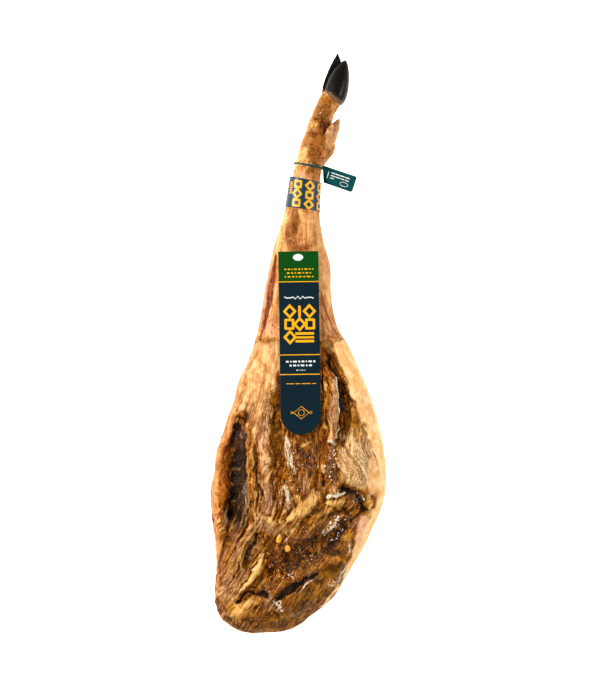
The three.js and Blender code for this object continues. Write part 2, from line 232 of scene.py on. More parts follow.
def buildStudio(plan):
    scene = bpy.context.scene
    scene.view_settings.view_transform = "Standard"
    scene.view_settings.look = "None"
    world = bpy.data.worlds.new("studio")
    world.use_nodes = True
    background = world.node_tree.nodes["Background"]
    background.inputs["Color"].default_value = linearFromHex(plan["worldColour"])
    horizon, overhead = plan["worldStrength"]
    low, high = plan["worldFade"]
    direction = addNode(world.node_tree, "ShaderNodeTexCoord").outputs["Generated"]
    upward = addNode(world.node_tree, "ShaderNodeSeparateXYZ", None, None, {0: direction}).outputs["Z"]
    falloff = addNode(
        world.node_tree, "ShaderNodeMapRange", None,
        {"From Min": low, "From Max": high, "To Min": horizon, "To Max": overhead}, {"Value": upward})
    world.node_tree.links.new(falloff.outputs[0], background.inputs["Strength"])
    scene.world = world
    for number, (place, aim, size, watts) in enumerate(plan["boxes"]):
        lamp = bpy.data.objects.new(f"softBox{number}", bpy.data.lights.new(f"softBox{number}", "AREA"))
        lamp.data.size = size * millimetre
        lamp.data.energy = watts
        lamp.data.color = linearFromHex(plan["lampColour"])[:3]
        lamp.location = Vector(place) * millimetre
        direction = Vector(aim) - Vector(place)
        lamp.rotation_euler = direction.to_track_quat("-Z", "Y").to_euler()
        scene.collection.objects.link(lamp)
    half = plan["floorSize"] / 2 * millimetre
    corners = [(-half, -half, 0), (half, -half, 0), (half, half, 0), (-half, half, 0)]
    mesh = bpy.data.meshes.new("floor")
    mesh.from_pydata(corners, [], [(0, 1, 2, 3)])
    # Matt white sweep lit from behind, so that it stays almost free of shadows.
    material, tree, shader = newMaterial("litPaperSweep", {
        "Base Color": linearFromHex(plan["floorColour"]),
        "Roughness": 0.9,
        "Emission Color": linearFromHex(plan["floorColour"]),
        "Emission Strength": plan["floorGlow"],
    })
    floor = newPiece("floor", mesh, material)
    floor.location.z = -plan["floorDrop"] * millimetre


buildStudio(studio)
print("camera, lights and floor placed")


# Ham

hamPlan = {
    "levels": 2,
    "skinEndY": 4.0,  # where the skin of the shank stops above the trimmed face
    "skinEndSway": 3.5,
    "cutEdgeWidth": 3.5,
    "rindHeight": 50.0,  # below this the trimmed face gives way to rind
    "hideStart": 238.0,  # Y above which the trotter keeps its browner skin
    "strandWidth": 6.0,
    "strandLength": 34.0,
    "strandRelief": 1.25,
    "strandSway": 4.5,
    "lumpRelief": 0.9,
    "skinRelief": 0.35,
    "wrinkleRelief": 0.8,  # of the trotter's skin
    "strokeRelief": 1.25,
    # broad forms: rise of the surface and the path of x, y and reach
    "forms": [
        (-4.5, [(-86, -112, 8), (-87, -150, 12), (-88, -205, 13), (-92, -245, 12)]),
        (2.0, [(-110, -140, 8), (-114, -200, 9), (-115, -262, 8)]),
        (2.6, [(-52, -90, 10), (-52, -150, 13), (-47, -235, 12)]),
        (-2.4, [(-32, -70, 8), (-32, -120, 10), (-28, -165, 8)]),
        (-2.4, [(2, -155, 9), (20, -175, 11), (34, -195, 8)]),
        (2.6, [(48, -45, 6), (50, -90, 8), (47, -135, 6)]),
        (-3.5, [(60, -60, 7), (64, -95, 8), (76, -122, 13)]),
        (2.4, [(80, -150, 12), (88, -185, 15)]),
        (-1.8, [(62, -206, 6), (80, -218, 9), (98, -240, 7)]),
        (2.2, [(-6, -252, 10), (24, -226, 12), (58, -230, 8)]),
        (-5.0, [(54, -280, 13), (26, -292, 21), (-6, -308, 24), (-30, -330, 14)]),
        (2.0, [(32, -272, 9), (46, -260, 11), (60, -248, 9)]),
        (2.6, [(56, -312, 12), (30, -350, 16), (0, -380, 16)]),
        (-1.6, [(22, -332, 5), (-6, -350, 8), (-28, -366, 6)]),
        (-2.8, [(-60, -276, 5), (-69, -298, 9), (-78, -325, 6)]),
        (2.4, [(-66, -262, 5), (-84, -292, 7), (-96, -325, 8)]),
        (-1.4, [(-86, -370, 5), (-68, -356, 5), (-46, -362, 6)]),
        (2.2, [(-96, -385, 14), (-66, -392, 12)]),
    ],
    "legLean": 235.0,  # below -Y of this the muscle runs to the lower left
    "leanSlope": 0.62,
    "cavityPasses": 8,
    # how far each layer fills and hides the fibres
    "smoothness": {"rim": 1.0, "pink": 1.0, "fat": 0.8, "tallow": 0.5, "lip": 0.7, "gold": 0.72,
                   "olive": 0.7, "wet": 0.8},
    # place, reach and slope of fibres that run down to the right, or to the left where it is negative
    "slants": [((84, -172), 34, 0.55), ((-86, -240), 30, -0.5)],
    # plan place, reach and push of each local change of the outline
    "nudges": [
        ((47, 281), 19, (6.5, 0)), ((-92, -408), 26, (-2.5, -1.5)), ((-12, -408), 28, (2.5, -2)),
        ((-114, -388), 24, (-2.5, 0)), ((118, -240), 28, (3, 0)), ((48, -372), 30, (1.5, -1)),
        ((-122, -180), 22, (2.5, 0)), ((-72, -416), 24, (-1, -2)), ((-20, -418), 28, (1.5, -2)),
    ],
}

# What lies on the surface. A stroke is its strength, its lift and its path of x, y and reach.
skinLayers = ("fold", "paintedLight", "blushAndShade", "mottle")  # on the skin of the trotter too
hamLayers = {
    "rim": [
        (1.0, 0, [(62, -2, 12), (76, -24, 15), (88, -52, 18), (99, -84, 16), (108, -114, 15),
                  (116, -146, 13)]),
        (1.0, 0, [(116, -146, 13), (122, -180, 11), (122, -212, 12), (118, -238, 8), (107, -262, 8),
                  (94, -282, 10)]),
        (1.0, 0.6, [(94, -282, 10), (84, -302, 8), (75, -318, 6), (66, -338, 4.5), (56, -354, 4)]),
        (0.7, 0.4, [(56, -354, 4), (42, -370, 3), (30, -382, 2)]),
        (0.9, 0, [(58, -8, 9), (64, -24, 7), (78, -56, 9), (88, -84, 8), (94, -106, 8)]),
        (1.0, 0, [(112, -244, 6), (104, -262, 10), (90, -282, 10), (80, -301, 6)]),
        (0.9, 0, [(103, -170, 6), (101, -190, 8), (105, -212, 9)]),
        (0.9, 0, [(101, -126, 7), (111, -158, 8), (113, -198, 9)]),
    ],
    "fat": [
        (1.0, 0, [(-48, -6, 22), (-56, -36, 28), (-66, -64, 19), (-78, -90, 9)]),
        (0.9, 0, [(-36, -4, 12), (-36, -30, 11), (-40, -52, 8)]),
        (1.0, 0.4, [(-84, -50, 9), (-91, -76, 9), (-97, -102, 7), (-106, -128, 5)]),
        (0.6, 0, [(-116, -160, 5), (-121, -190, 5), (-123, -214, 4)]),
        (0.6, 0, [(-54, -66, 12), (-60, -100, 8), (-64, -128, 5)]),
    ],
    "tallow": [
        (1.0, 0, [(72, -140, 8), (84, -158, 14), (97, -182, 12)]),
        (1.0, 0, [(64, -154, 7), (74, -176, 13), (89, -198, 12)]),
        (0.8, 0, [(58, -172, 4), (68, -192, 7), (84, -206, 6)]),
        (0.8, 0, [(90, -134, 6), (102, -158, 8), (110, -188, 8)]),
        (0.5, 0, [(62, -134, 5), (80, -126, 7), (94, -122, 5)]),
    ],
    "amber": [
        (1.0, 0, [(40, 6, 8), (45, -12, 8)]),
        (1.0, 0, [(52, -12, 7), (59, -32, 7), (60, -42, 5)]),
        (1.0, 0.2, [(72, -274, 7), (69, -294, 8), (67, -310, 7)]),
        (0.9, 0, [(57, -332, 5), (48, -346, 6)]),
        (1.0, 0, [(60, -248, 7), (50, -258, 10), (38, -268, 8)]),
        (0.9, 0, [(2, -250, 5), (15, -254, 7), (28, -248, 5)]),
        (0.9, 0, [(98, -246, 5), (96, -256, 5)]),
        (1.0, 0, [(-85, -365, 5), (-72, -369, 6)]),
        (1.0, 0, [(70, -102, 8), (78, -118, 14), (86, -132, 9)]),
        (0.8, 0, [(84, -206, 4), (96, -214, 5), (104, -228, 5)]),
        (0.75, 0, [(-86, -388, 18), (-102, -376, 14), (-70, -392, 14)]),
        (0.7, 0, [(52, -306, 8), (40, -316, 6)]),
        (0.4, 0, [(22, -356, 8), (42, -344, 7)]),
        (0.6, 0, [(-100, -290, 9), (-104, -330, 9)]),
        (0.6, 0, [(58, -140, 6), (60, -170, 6), (68, -200, 6)]),
        (0.6, 0, [(36, -62, 5), (37, -115, 5)]),
        (0.3, 0, [(-34, -80, 5), (-34, -112, 7), (-33, -148, 8)]),
        (0.9, 0, [(-54, -322, 4), (-58, -336, 4.5), (-64, -346, 3)]),
        (0.6, 0, [(44, -240, 6), (58, -232, 5)]),
    ],
    "pink": [
        (0.9, 0.2, [(92, -254, 8), (92, -268, 10), (86, -280, 7)]),
        (0.5, 0, [(98, -70, 7), (104, -100, 6)]),
            ],
    "rose": [
        (0.5, 0, [(96, -70, 7), (104, -100, 6)]),
        (0.6, 0, [(66, -146, 6), (66, -164, 5)]),
        (0.6, 0, [(-50, -112, 5), (-54, -146, 6), (-52, -176, 5)]),
        (0.7, 0, [(-44, -205, 6), (-44, -236, 8)]),
        (0.6, 0, [(47, -52, 3), (48, -86, 3.5), (46, -122, 4)]),
        (0.5, 0, [(18, -148, 7), (22, -162, 5)]),
        (0.6, 0, [(-104, -292, 5), (-110, -318, 5), (-106, -348, 7)]),
        (0.5, 0, [(-52, -298, 3), (-56, -312, 4)]),
        (0.5, 0, [(-88, -276, 6), (-98, -300, 6)]),
        (0.5, 0, [(-44, -362, 5), (-48, -380, 4)]),
    ],
    "lip": [
        (0.8, 0.2, [(-95, -116, 4), (-101, -132, 5)]),
        (0.6, 0.8, [(-84, -48, 8), (-92, -76, 8), (-98, -104, 6)]),
        (0.95, 0.8, [(-98, -104, 6), (-107, -134, 6), (-113, -156, 7), (-118, -180, 6)]),
        (1.0, 0.6, [(-118, -180, 6), (-121, -205, 7), (-121, -235, 6), (-121, -262, 5), (-118, -285, 6),
                    (-117, -300, 4)]),
        (0.8, 0.4, [(-117, -300, 4), (-118, -340, 3), (-118, -362, 4)]),
    ],
    "gold": [
        (0.9, 0, [(40, 4, 5), (45, -14, 5)]),
        (0.8, 0.3, [(-54, -246, 4), (-43, -252, 5), (-35, -258, 4)]),
        (0.7, 0.4, [(-26, -254, 3.4), (-21, -264, 5), (-17, -274, 3)]),
        (0.8, 0.2, [(-5, -220, 5), (3, -231, 6)]),
        (1.0, 1.0, [(-53, -305, 3.4), (-59, -321, 5.4), (-68, -337, 5), (-78, -349, 3.6), (-88, -361, 1.8)]),
        (0.85, 0.2, [(-12, -250, 6), (2, -239, 9), (14, -227, 8), (26, -216, 5)]),
        (0.9, 0.9, [(44, -227, 5), (60, -227, 5)]),
        (0.62, 0.4, [(-53, -250, 2), (-61, -268, 2.4), (-75, -298, 2.6), (-90, -332, 2.4)]),
        (0.55, 0.5, [(-66, -150, 1.8), (-66, -185, 2.2), (-64, -215, 2.6), (-62, -244, 3)]),
        (0.7, 0.3, [(-2, -262, 5), (-12, -268, 4)]),
        (0.9, 0.6, [(46, -229, 4.5), (54, -229, 5)]),
        (0.8, 0, [(-66, -370, 6), (-78, -376, 6)]),
        (0.6, 0, [(-92, -364, 5), (-84, -386, 10), (-96, -392, 8)]),
        (0.75, 0, [(36, -60, 3.4), (37, -67, 3)]),
        (0.6, 0, [(36, -112, 3), (38, -118, 3)]),
        (0.6, 0.4, [(4, -147, 3), (18, -139, 3)]),
        (0.5, 0, [(78, -96, 4), (90, -112, 4), (96, -128, 4)]),
        (0.55, 0, [(102, -224, 5), (104, -240, 5), (98, -252, 4)]),
        (0.6, 0, [(82, -204, 3), (94, -212, 4), (102, -222, 4)]),
        (0.5, 0, [(46, -6, 5), (56, -12, 5)]),
        (0.5, 0.3, [(22, -248, 4), (44, -240, 5)]),
        (0.5, 0, [(28, -292, 3), (29, -306, 3)]),
    ],
    "pale": [
        (1.0, 0.4, [(-60, -246, 8), (-54, -260, 10), (-40, -264, 11), (-28, -268, 7)]),
        (0.95, 0, [(-76, -318, 6), (-84, -336, 9), (-90, -352, 7)]),
        (1.0, 0, [(-96, -344, 9), (-99, -366, 11)]),
        (0.7, 0, [(-16, -218, 6), (-12, -232, 6)]),
        (0.85, 0.4, [(-36, -58, 7), (-46, -92, 11), (-50, -135, 12), (-50, -180, 11), (-44, -238, 10)]),
        (0.6, 0, [(-64, -92, 7), (-70, -112, 6), (-60, -136, 5)]),
        (0.6, 0, [(-64, -262, 5), (-82, -288, 8), (-98, -322, 12)]),
        (0.9, 0.6, [(47, -42, 3), (50, -78, 6), (50, -110, 6.5), (45, -140, 5)]),
        (0.9, 0, [(-104, -334, 12), (-106, -362, 11), (-108, -384, 8)]),
        (0.6, 0, [(10, -190, 6), (10, -210, 8), (22, -212, 7)]),
        (0.5, 0, [(-22, -205, 6), (-26, -228, 6)]),
        (0.6, 0, [(36, -205, 4), (30, -218, 6)]),
        (0.5, 0, [(42, -160, 3), (44, -184, 4)]),
        (0.5, 0, [(-84, -392, 12), (-100, -378, 8)]),
    ],
    "rust": [
        (0.95, 0, [(-96, -116, 3), (-101, -140, 7), (-104, -165, 9), (-106, -195, 9), (-108, -225, 7),
                   (-110, -250, 5)]),
        (0.9, 0, [(-114, -298, 5), (-112, -328, 6)]),
        (0.8, 0, [(38, -12, 7), (42, -22, 6)]),
        (0.7, 0, [(47, -158, 5), (48, -176, 5)]),
        (0.8, 0, [(60, -172, 3), (62, -196, 4)]),
        (0.7, 0, [(92, -228, 5), (98, -246, 5), (88, -256, 4)]),
        (0.7, 0, [(-30, -400, 10), (0, -400, 8), (24, -386, 6)]),
        (0.7, 0, [(34, -134, 7), (40, -150, 8), (30, -170, 6)]),
        (0.6, 0, [(24, -186, 4), (24, -204, 4)]),
        (0.7, 0, [(40, -324, 8), (52, -336, 6)]),
        (0.7, 0, [(-28, -68, 3), (-27, -105, 3), (-24, -124, 3)]),
        (0.6, 0, [(36, -80, 4), (37, -98, 4)]),
        (0.5, 0, [(30, -262, 5), (24, -275, 6)]),
        (0.6, 0, [(-92, -392, 6), (-74, -396, 6)]),
        (0.6, 0, [(-112, -374, 3), (-112, -386, 3)]),
        (0.5, 0, [(-80, -88, 3), (-82, -104, 3)]),
    ],
    "olive": [
        (1.0, 0, [(64, -206, 7), (82, -217, 8), (98, -233, 7), (100, -246, 4)]),
        (1.0, 0, [(-34, -78, 6), (-34, -112, 7), (-33, -145, 8), (-30, -165, 6)]),
        (1.0, 0, [(58, -306, 9), (46, -324, 14), (30, -350, 22), (6, -376, 19)]),
        (1.0, 0, [(10, -384, 17), (-20, -398, 15), (-50, -406, 11)]),
        (0.9, 0, [(-61, -282, 4), (-66, -296, 7), (-75, -318, 5)]),
        (0.75, 0, [(4, -258, 6), (20, -252, 6), (34, -238, 5)]),
        (0.9, 0, [(-54, -322, 3.5), (-56, -344, 4)]),
        (0.6, 0, [(-80, -410, 5), (-50, -415, 5), (-20, -410, 5)]),
        (0.7, 0, [(52, -184, 4), (56, -198, 4)]),
        (0.6, 0, [(88, -208, 5), (98, -220, 5)]),
        (0.5, 0, [(4, -154, 4), (6, -172, 5)]),
        (1.0, 0, [(-63, -288, 5), (-69, -304, 7), (-76, -322, 4)]),
    ],
    "brown": [
        (0.9, 0, [(-20, -336, 6), (4, -337, 6)]),
        (0.75, 0, [(-48, -402, 5), (-36, -408, 5)]),
        (0.7, 0, [(-68, -116, 4), (-71, -134, 5)]),
        (0.75, 0, [(-57, -156, 4), (-56, -184, 4)]),
        (0.7, 0, [(-43, -130, 4), (-41, -152, 4)]),
        (0.7, 0, [(-14, -188, 5), (-16, -202, 5)]),
        (0.95, 0, [(-30, -288, 6), (-24, -304, 7)]),
        (0.9, -0.6, [(38, -38, 5), (46, -50, 4)]),
        (1.0, 0, [(66, -250, 9), (50, -270, 17), (26, -292, 20), (-4, -308, 22), (-24, -322, 16)]),
        (0.9, 0, [(36, -30, 4), (37, -60, 5), (37, -95, 5), (34, -124, 5)]),
        (0.6, 0, [(4, -160, 7), (20, -172, 10), (34, -192, 6)]),
        (0.5, 0, [(62, -205, 6), (78, -214, 7), (92, -228, 7)]),
        (0.8, 0, [(-44, -302, 8), (-44, -335, 9), (-38, -352, 8)]),
        (0.9, 0, [(56, -48, 5), (66, -74, 8), (68, -92, 7), (60, -124, 4)]),
        (0.7, 0, [(-24, -172, 5), (-22, -196, 6), (-30, -188, 5)]),
        (0.9, 0, [(48, -236, 6), (64, -238, 6), (74, -250, 5)]),
        (0.6, 0, [(-38, -104, 4), (-36, -112, 4)]),
        (0.6, 0, [(-60, -400, 7), (-44, -392, 7)]),
        (0.6, 0, [(-8, -196, 5), (-4, -210, 4)]),
    ],
    # Grey-lilac streaks that stand in for glints on the wet lean: painted sheen.
    "grey": [
        (0.55, 0, [(-80, -128, 5), (-79, -170, 7), (-79, -212, 7)]),
        (0.45, 0, [(-80, -208, 5), (-74, -228, 7), (-84, -256, 9), (-98, -280, 7)]),
        (0.5, 0, [(-88, -113, 2.5), (-85, -121, 3)]),
        (0.35, 0, [(-100, -350, 7), (-108, -382, 6), (-98, -395, 5)]),
        (0.5, 0, [(82, -224, 4), (90, -231, 3)]),
        (0.4, 0, [(12, -164, 5), (22, -174, 6)]),
        (0.35, 0, [(66, -92, 4)] * 2),
        (0.5, 0, [(-60, -282, 4), (-64, -298, 5), (-72, -312, 4)]),
        (0.5, 0, [(10, -332, 3), (26, -330, 3)]),
        (0.5, 0, [(-52, -354, 5), (-42, -362, 5)]),
        (0.35, 0, [(-54, -38, 3), (-48, -66, 4)]),
    ],
    # The dark strokes sink grooves, cracks and the deep channel and paint them near black: painted shade in
    # the recesses.
    "dark": [
        (0.6, -0.6, [(-92, -292, 1.2), (-100, -310, 1.8), (-107, -330, 1.2)]),
        (0.6, -0.6, [(-80, -304, 1.2), (-88, -322, 1.6), (-96, -340, 1.2)]),
        (0.55, -0.5, [(-70, -250, 1.2), (-80, -270, 1.8), (-92, -288, 1.4)]),
        (1.0, -1.2, [(-89, -116, 3), (-89, -132, 4), (-90, -146, 5), (-91, -176, 4)]),
        (0.85, -0.8, [(-84, -140, 5), (-82, -166, 6), (-85, -190, 7)]),
        (1.0, -1.2, [(-91, -188, 5), (-91, -204, 7), (-95, -222, 4)]),
        (0.6, -0.6, [(-80, -128, 2), (-78, -158, 3), (-79, -190, 2.4)]),
        (0.6, -0.6, [(-98, -228, 4), (-100, -250, 4), (-104, -268, 3)]),
        (0.6, -0.6, [(-84, -232, 4), (-86, -254, 4), (-94, -272, 3)]),
        (0.9, -1.2, [(-60, -156, 1.4), (-60, -176, 2), (-57, -198, 2.2), (-52, -212, 2.6), (-54, -226, 2)]),
        (0.7, -0.8, [(-57, -202, 2), (-60, -226, 2.4), (-61, -246, 1.6)]),
        (0.6, -0.8, [(-75, -86, 2), (-77, -102, 2.4), (-79, -114, 2)]),
        (1.0, -1.4, [(38, -26, 1.6), (46, -36, 3), (54, -50, 4), (59, -72, 4.5), (60, -98, 4.5),
                     (57, -126, 3), (53, -138, 2.4)]),
        (0.7, -0.6, [(68, -66, 2), (74, -78, 3), (76, -84, 2.4)]),
        (0.7, -0.5, [(64, -92, 3), (68, -100, 3)]),
        (0.6, -0.5, [(46, -14, 1), (53, -26, 1.6), (61, -42, 2)]),
        (0.85, -1.0, [(61, -205, 2.4), (72, -211, 3.4), (82, -219, 3.6), (92, -231, 2.8), (99, -243, 2)]),
        (0.95, -1.0, [(66, -262, 5), (54, -280, 8), (42, -296, 8), (56, -298, 7)]),
        (0.7, -0.6, [(62, -236, 3), (70, -244, 3.4), (75, -257, 2.4)]),
        (0.6, -0.5, [(-8, -282, 4), (10, -284, 5), (26, -278, 3)]),
        (0.6, -0.4, [(-38, -290, 4), (-36, -316, 5)]),
        (0.5, -0.5, [(30, -304, 4), (10, -322, 5)]),
        (1.0, -1.3, [(28, -329, 1), (8, -340, 2.6), (-8, -350, 4), (-24, -361, 3), (-32, -370, 1.8)]),
        (0.95, -1.2, [(-88, -374, 2), (-82, -364, 3), (-74, -357, 2.2), (-64, -358, 2), (-52, -358, 4),
                      (-44, -366, 3)]),
        (0.8, -0.9, [(-60, -312, 1), (-70, -330, 1.4), (-80, -347, 1.8), (-88, -358, 1.2)]),
        (0.7, -0.6, [(-70, -349, 1.4), (-60, -350, 1.4)]),
        (0.8, -0.8, [(-34, -388, 3), (-30, -394, 3)]),
        (0.7, -0.8, [(-61, -376, 2), (-66, -386, 2.6)]),
        (0.6, -0.6, [(-61, -276, 1.2), (-67, -294, 2.2), (-77, -312, 1.6)]),
        (0.6, -0.5, [(-52, -276, 1.2), (-50, -290, 1.4)]),
        (0.8, -0.7, [(77, -282, 1.4), (75, -296, 1.4)]),
        (0.8, -0.7, [(67, -322, 1.6), (63, -334, 1.6)]),
        (0.7, -0.8, [(91, -120, 0.9), (98, -132, 1.2), (105, -152, 1.2), (112, -168, 1), (115, -188, 0.8)]),
        (0.7, -0.5, [(33, -182, 2.4), (36, -202, 3)]),
        (0.6, -0.4, [(6, -158, 2.4), (12, -166, 3)]),
        (0.5, -0.4, [(-24, -142, 1.2), (-22, -170, 2), (-26, -200, 2)]),
        (0.5, -0.4, [(-30, -106, 3), (-40, -110, 2)]),
        (0.5, -0.4, [(-2, -190, 2), (0, -204, 2)]),
        (0.5, -0.4, [(54, -186, 3), (58, -198, 3)]),
        (0.5, -0.4, [(-110, -372, 2), (-112, -384, 2.4)]),
        (0.5, -0.3, [(8, -372, 2), (2, -378, 2)]),
        (0.5, -0.5, [(-78, -262, 2), (-90, -286, 2), (-98, -300, 1.4)]),
    ],
    # Pale cream streaks: partly cream fat, partly painted highlights as white lines on crests and wet edges.
    "creamAndHighlights": [
        (0.5, 0, [(54, -250, 4), (46, -258, 4)]),
        (0.58, 0.5, [(-17, -134, 5), (-15, -156, 7), (-12, -172, 7), (-6, -184, 5)]),
        (0.56, 0.5, [(-18, -206, 6), (-14, -222, 7), (-14, -234, 5)]),
        (0.36, 0.3, [(-30, -206, 4), (-26, -222, 4), (-22, -236, 4)]),
        (1.0, 1.4, [(50, -50, 1.4), (53, -68, 1.9), (56, -86, 2.1), (57, -102, 2.1), (55, -122, 1.9),
                    (51, -132, 2)]),
        (0.9, 0.9, [(43, -139, 3.4), (48, -143, 3.6)]),
        (1.0, 1.2, [(42, -218, 3), (54, -217, 3.2), (66, -212, 2.2)]),
        (0.8, 0.6, [(49, -209, 1.8), (57, -214, 1.8)]),
        (0.9, 0.5, [(71, -284, 1.4), (70, -300, 1.7)]),
        (0.9, 0.5, [(68, -316, 1.6), (64, -328, 1.9), (57, -341, 1.8)]),
        (0.7, 0.4, [(20, -337, 1.2), (10, -346, 1.4), (1, -358, 1.2)]),
        (0.8, 0.5, [(-36, -372, 2.4), (-31, -379, 2.4), (-27, -384, 2)]),
        (0.6, 0, [(-62, -318, 1), (-68, -330, 1.2), (-76, -342, 1)]),
        (0.4, 0, [(76, -156, 9), (90, -170, 11), (98, -188, 8)]),
        (0.35, 0, [(4, -196, 8), (6, -212, 8)]),
        (0.6, 0.4, [(-17, -280, 1.8), (-17, -288, 2)]),
    ],
    # Pale flecks: partly dried fat and salt specks, partly painted glints, densest where the wet bowl shines.
    "flecksAndHighlights": [
        (0.3, 0, [(36, -270, 8), (48, -258, 10), (60, -250, 8)]),
        (0.22, 0, [(0, -290, 14), (20, -312, 18)]),
        (0.22, 0, [(-36, -300, 10), (-36, -330, 12)]),
        (0.24, 0, [(-18, -334, 8), (-4, -338, 10)]),
        (0.27, 0, [(44, -346, 9), (56, -350, 9)]),
        (0.21, 0, [(4, -150, 14), (22, -176, 16)]),
        (0.22, 0, [(-14, -150, 12), (-8, -184, 14), (-22, -226, 16)]),
        (0.22, 0, [(84, -226, 10), (94, -242, 9)]),
        (0.22, 0, [(-62, -280, 9), (-72, -306, 9)]),
        (0.27, 0, [(-30, -376, 10), (-42, -366, 10)]),
        (0.21, 0, [(16, -256, 12), (-8, -264, 12)]),
        (0.24, 0, [(44, -146, 8), (48, -206, 10)]),
    ],
    # The skin's folds and the trotter's creases, sunk and painted dark: painted shade in the creases.
    "fold": [
        (1.0, -1.8, [(-34, 128, 1.2), (-37, 106, 4), (-40, 84, 6), (-45, 58, 5), (-50, 34, 3),
                     (-55, 6, 1.4)]),
        (0.6, -0.6, [(-43, 60, 1.2), (-47, 32, 1.4), (-50, 12, 1.2)]),
        (0.7, -0.6, [(-40, 27, 1.4), (-28, 20, 1.2)]),
        (0.6, -0.9, [(32, 72, 1.4), (38, 48, 1.6), (50, 20, 1.8), (62, 4, 1.4)]),
        (0.6, -0.6, [(32, 40, 1.2), (44, 16, 1.4)]),
        (1.0, -0.9, [(34, 300, 2), (38, 308, 3.2), (42, 316, 2.4)]),
        (0.5, -0.6, [(30, 284, 1.2), (26, 270, 1.2)]),
        (0.5, -0.5, [(12, 304, 1.4), (24, 303, 1.6)]),
        (0.4, -0.5, [(14, 322, 1.2), (28, 324, 1.4)]),
        (0.5, -0.5, [(18, 288, 1.2), (30, 280, 1.4)]),
        (0.5, -0.5, [(16, 262, 1.2), (30, 256, 1.4)]),
    ],
    # Lighter cream-orange bands along the shank's right side and on the trotter: painted light.
    "paintedLight": [
        (1.0, 0, [(36, 62, 3), (42, 42, 5), (49, 24, 3)]),
        (0.9, 0, [(31, 120, 4), (33, 90, 5), (34, 72, 4)]),
        (0.8, 0, [(4, 186, 7), (16, 180, 7)]),
        (1.0, 0, [(24, 188, 5), (31, 150, 8), (39, 110, 11), (45, 70, 8), (56, 36, 6)]),
        (0.6, 0, [(-20, 186, 5), (-30, 150, 6), (-38, 128, 5)]),
        (0.5, 0, [(-34, 80, 4), (-36, 56, 4)]),
        (0.5, 0, [(-2, 262, 5), (8, 284, 6), (12, 308, 4)]),
        (0.6, 0, [(38, 275, 5), (44, 295, 6)]),
        (0.5, 0, [(12, 176, 8), (14, 150, 8)]),
    ],
    # Reddish-brown bands, mostly along the shank's left side: partly the skin's reddish tone, partly painted
    # shade.
    "blushAndShade": [
        (1.0, 0, [(-40, 112, 5), (-47, 84, 7), (-53, 54, 7), (-58, 24, 5)]),
        (0.6, 0, [(-36, 96, 3), (-42, 66, 5), (-46, 40, 4)]),
        (0.45, 0, [(34, 56, 5), (40, 40, 6), (54, 14, 5)]),
        (0.8, 0, [(-40, 34, 7), (-40, 16, 6)]),
        (0.6, 0, [(-14, 146, 10), (4, 140, 10)]),
        (0.6, 0, [(36, 148, 5), (40, 128, 5), (42, 96, 4)]),
        (0.6, 0, [(2, 245, 7), (12, 241, 6)]),
        (0.4, 0, [(30, 312, 7), (38, 302, 6)]),
        (0.6, 0, [(28, 276, 7), (36, 262, 7)]),
        (0.5, 0, [(16, 330, 7), (30, 338, 8)]),
    ],
    "mottle": [
        (0.8, 0, [(28, 322, 7), (40, 330, 8), (42, 348, 7)]),
        (1.0, 0, [(28, 298, 11), (20, 284, 8), (36, 314, 9)]),
        (0.7, 0, [(-16, 150, 8), (-10, 140, 8)]),
        (0.9, 0, [(-6, 190, 6), (-6, 174, 10), (-8, 158, 7)]),
        (0.6, 0, [(-18, 170, 5), (-17, 156, 4)]),
        (0.7, 0, [(-4, 148, 6), (-8, 136, 10), (10, 138, 6)]),
        (0.8, 0, [(20, 304, 8), (30, 290, 9), (27, 270, 8)]),
        (1.0, 0, [(31, 296, 6), (36, 308, 7), (42, 318, 5)]),
        (0.7, 0, [(12, 302, 6), (10, 286, 5)]),
        (0.75, 0, [(24, 342, 12), (36, 350, 12), (50, 350, 8)]),
        (0.6, 0, [(22, 326, 7), (28, 336, 7)]),
        (0.7, 0, [(18, 272, 7), (24, 256, 8), (14, 246, 6)]),
        (0.6, 0, [(38, 284, 6), (44, 268, 6)]),
        (0.7, 0, [(-60, 8, 5), (-50, 4, 5), (-34, 5, 4)]),
        (0.5, 0, [(34, 30, 3), (36, 12, 5)]),
        (0.45, 0, [(-26, 100, 6), (-30, 60, 8), (-34, 30, 8)]),
        (0.45, 0, [(40, 150, 6), (44, 110, 6)]),
    ],
    # The deep left channel in dark brown: partly the lean's own colour, partly painted shade, with
    # pinkish-grey crests as painted highlights.
    "umber": [
        (1.0, 0, [(-86, -128, 5), (-87, -150, 9), (-87, -190, 10), (-89, -225, 13), (-88, -252, 13)]),
        (0.8, 0, [(-106, -238, 6), (-104, -262, 6)]),
        (0.9, 0, [(-78, -206, 7), (-79, -236, 10), (-84, -256, 8)]),
        (0.8, 0, [(-70, -84, 2.4), (-76, -100, 4), (-80, -118, 4)]),
    ],
    # Where pale specks stand in for glints on the wet lean: painted highlights.
    "glints": [
        (1.0, 0, [(35, -274, 4), (46, -263, 6), (54, -254, 6.5), (60, -248, 4)]),
        (0.3, 0, [(60, -268, 4), (50, -280, 4)]),
        (0.4, 0, [(42, -352, 4), (54, -345, 5)]),
        (0.25, 0, [(-14, -333, 4), (0, -336, 5)]),
        (0.14, 0, [(48, -144, 6), (46, -172, 10), (42, -200, 9)]),
        (0.4, 0, [(-34, -374, 5), (-26, -382, 4)]),
        (0.25, 0, [(92, -226, 5), (84, -218, 5)]),
    ],
    "wet": [
        (1.0, 0, [(66, -258, 16), (30, -288, 28), (-14, -310, 26)]),
        (0.3, 0, [(30, -345, 20), (-20, -388, 16)]),
        (0.6, 0, [(52, -50, 8), (63, -90, 10)]),
        (0.5, 0, [(-86, -130, 10), (-88, -220, 14)]),
        (0.8, 0, [(-40, -345, 12), (-56, -360, 8), (-34, -380, 6)]),
        (0.8, 0, [(20, -334, 6), (-24, -362, 6)]),
        (0.7, 0, [(46, -144, 6), (50, -212, 8), (84, -224, 8)]),
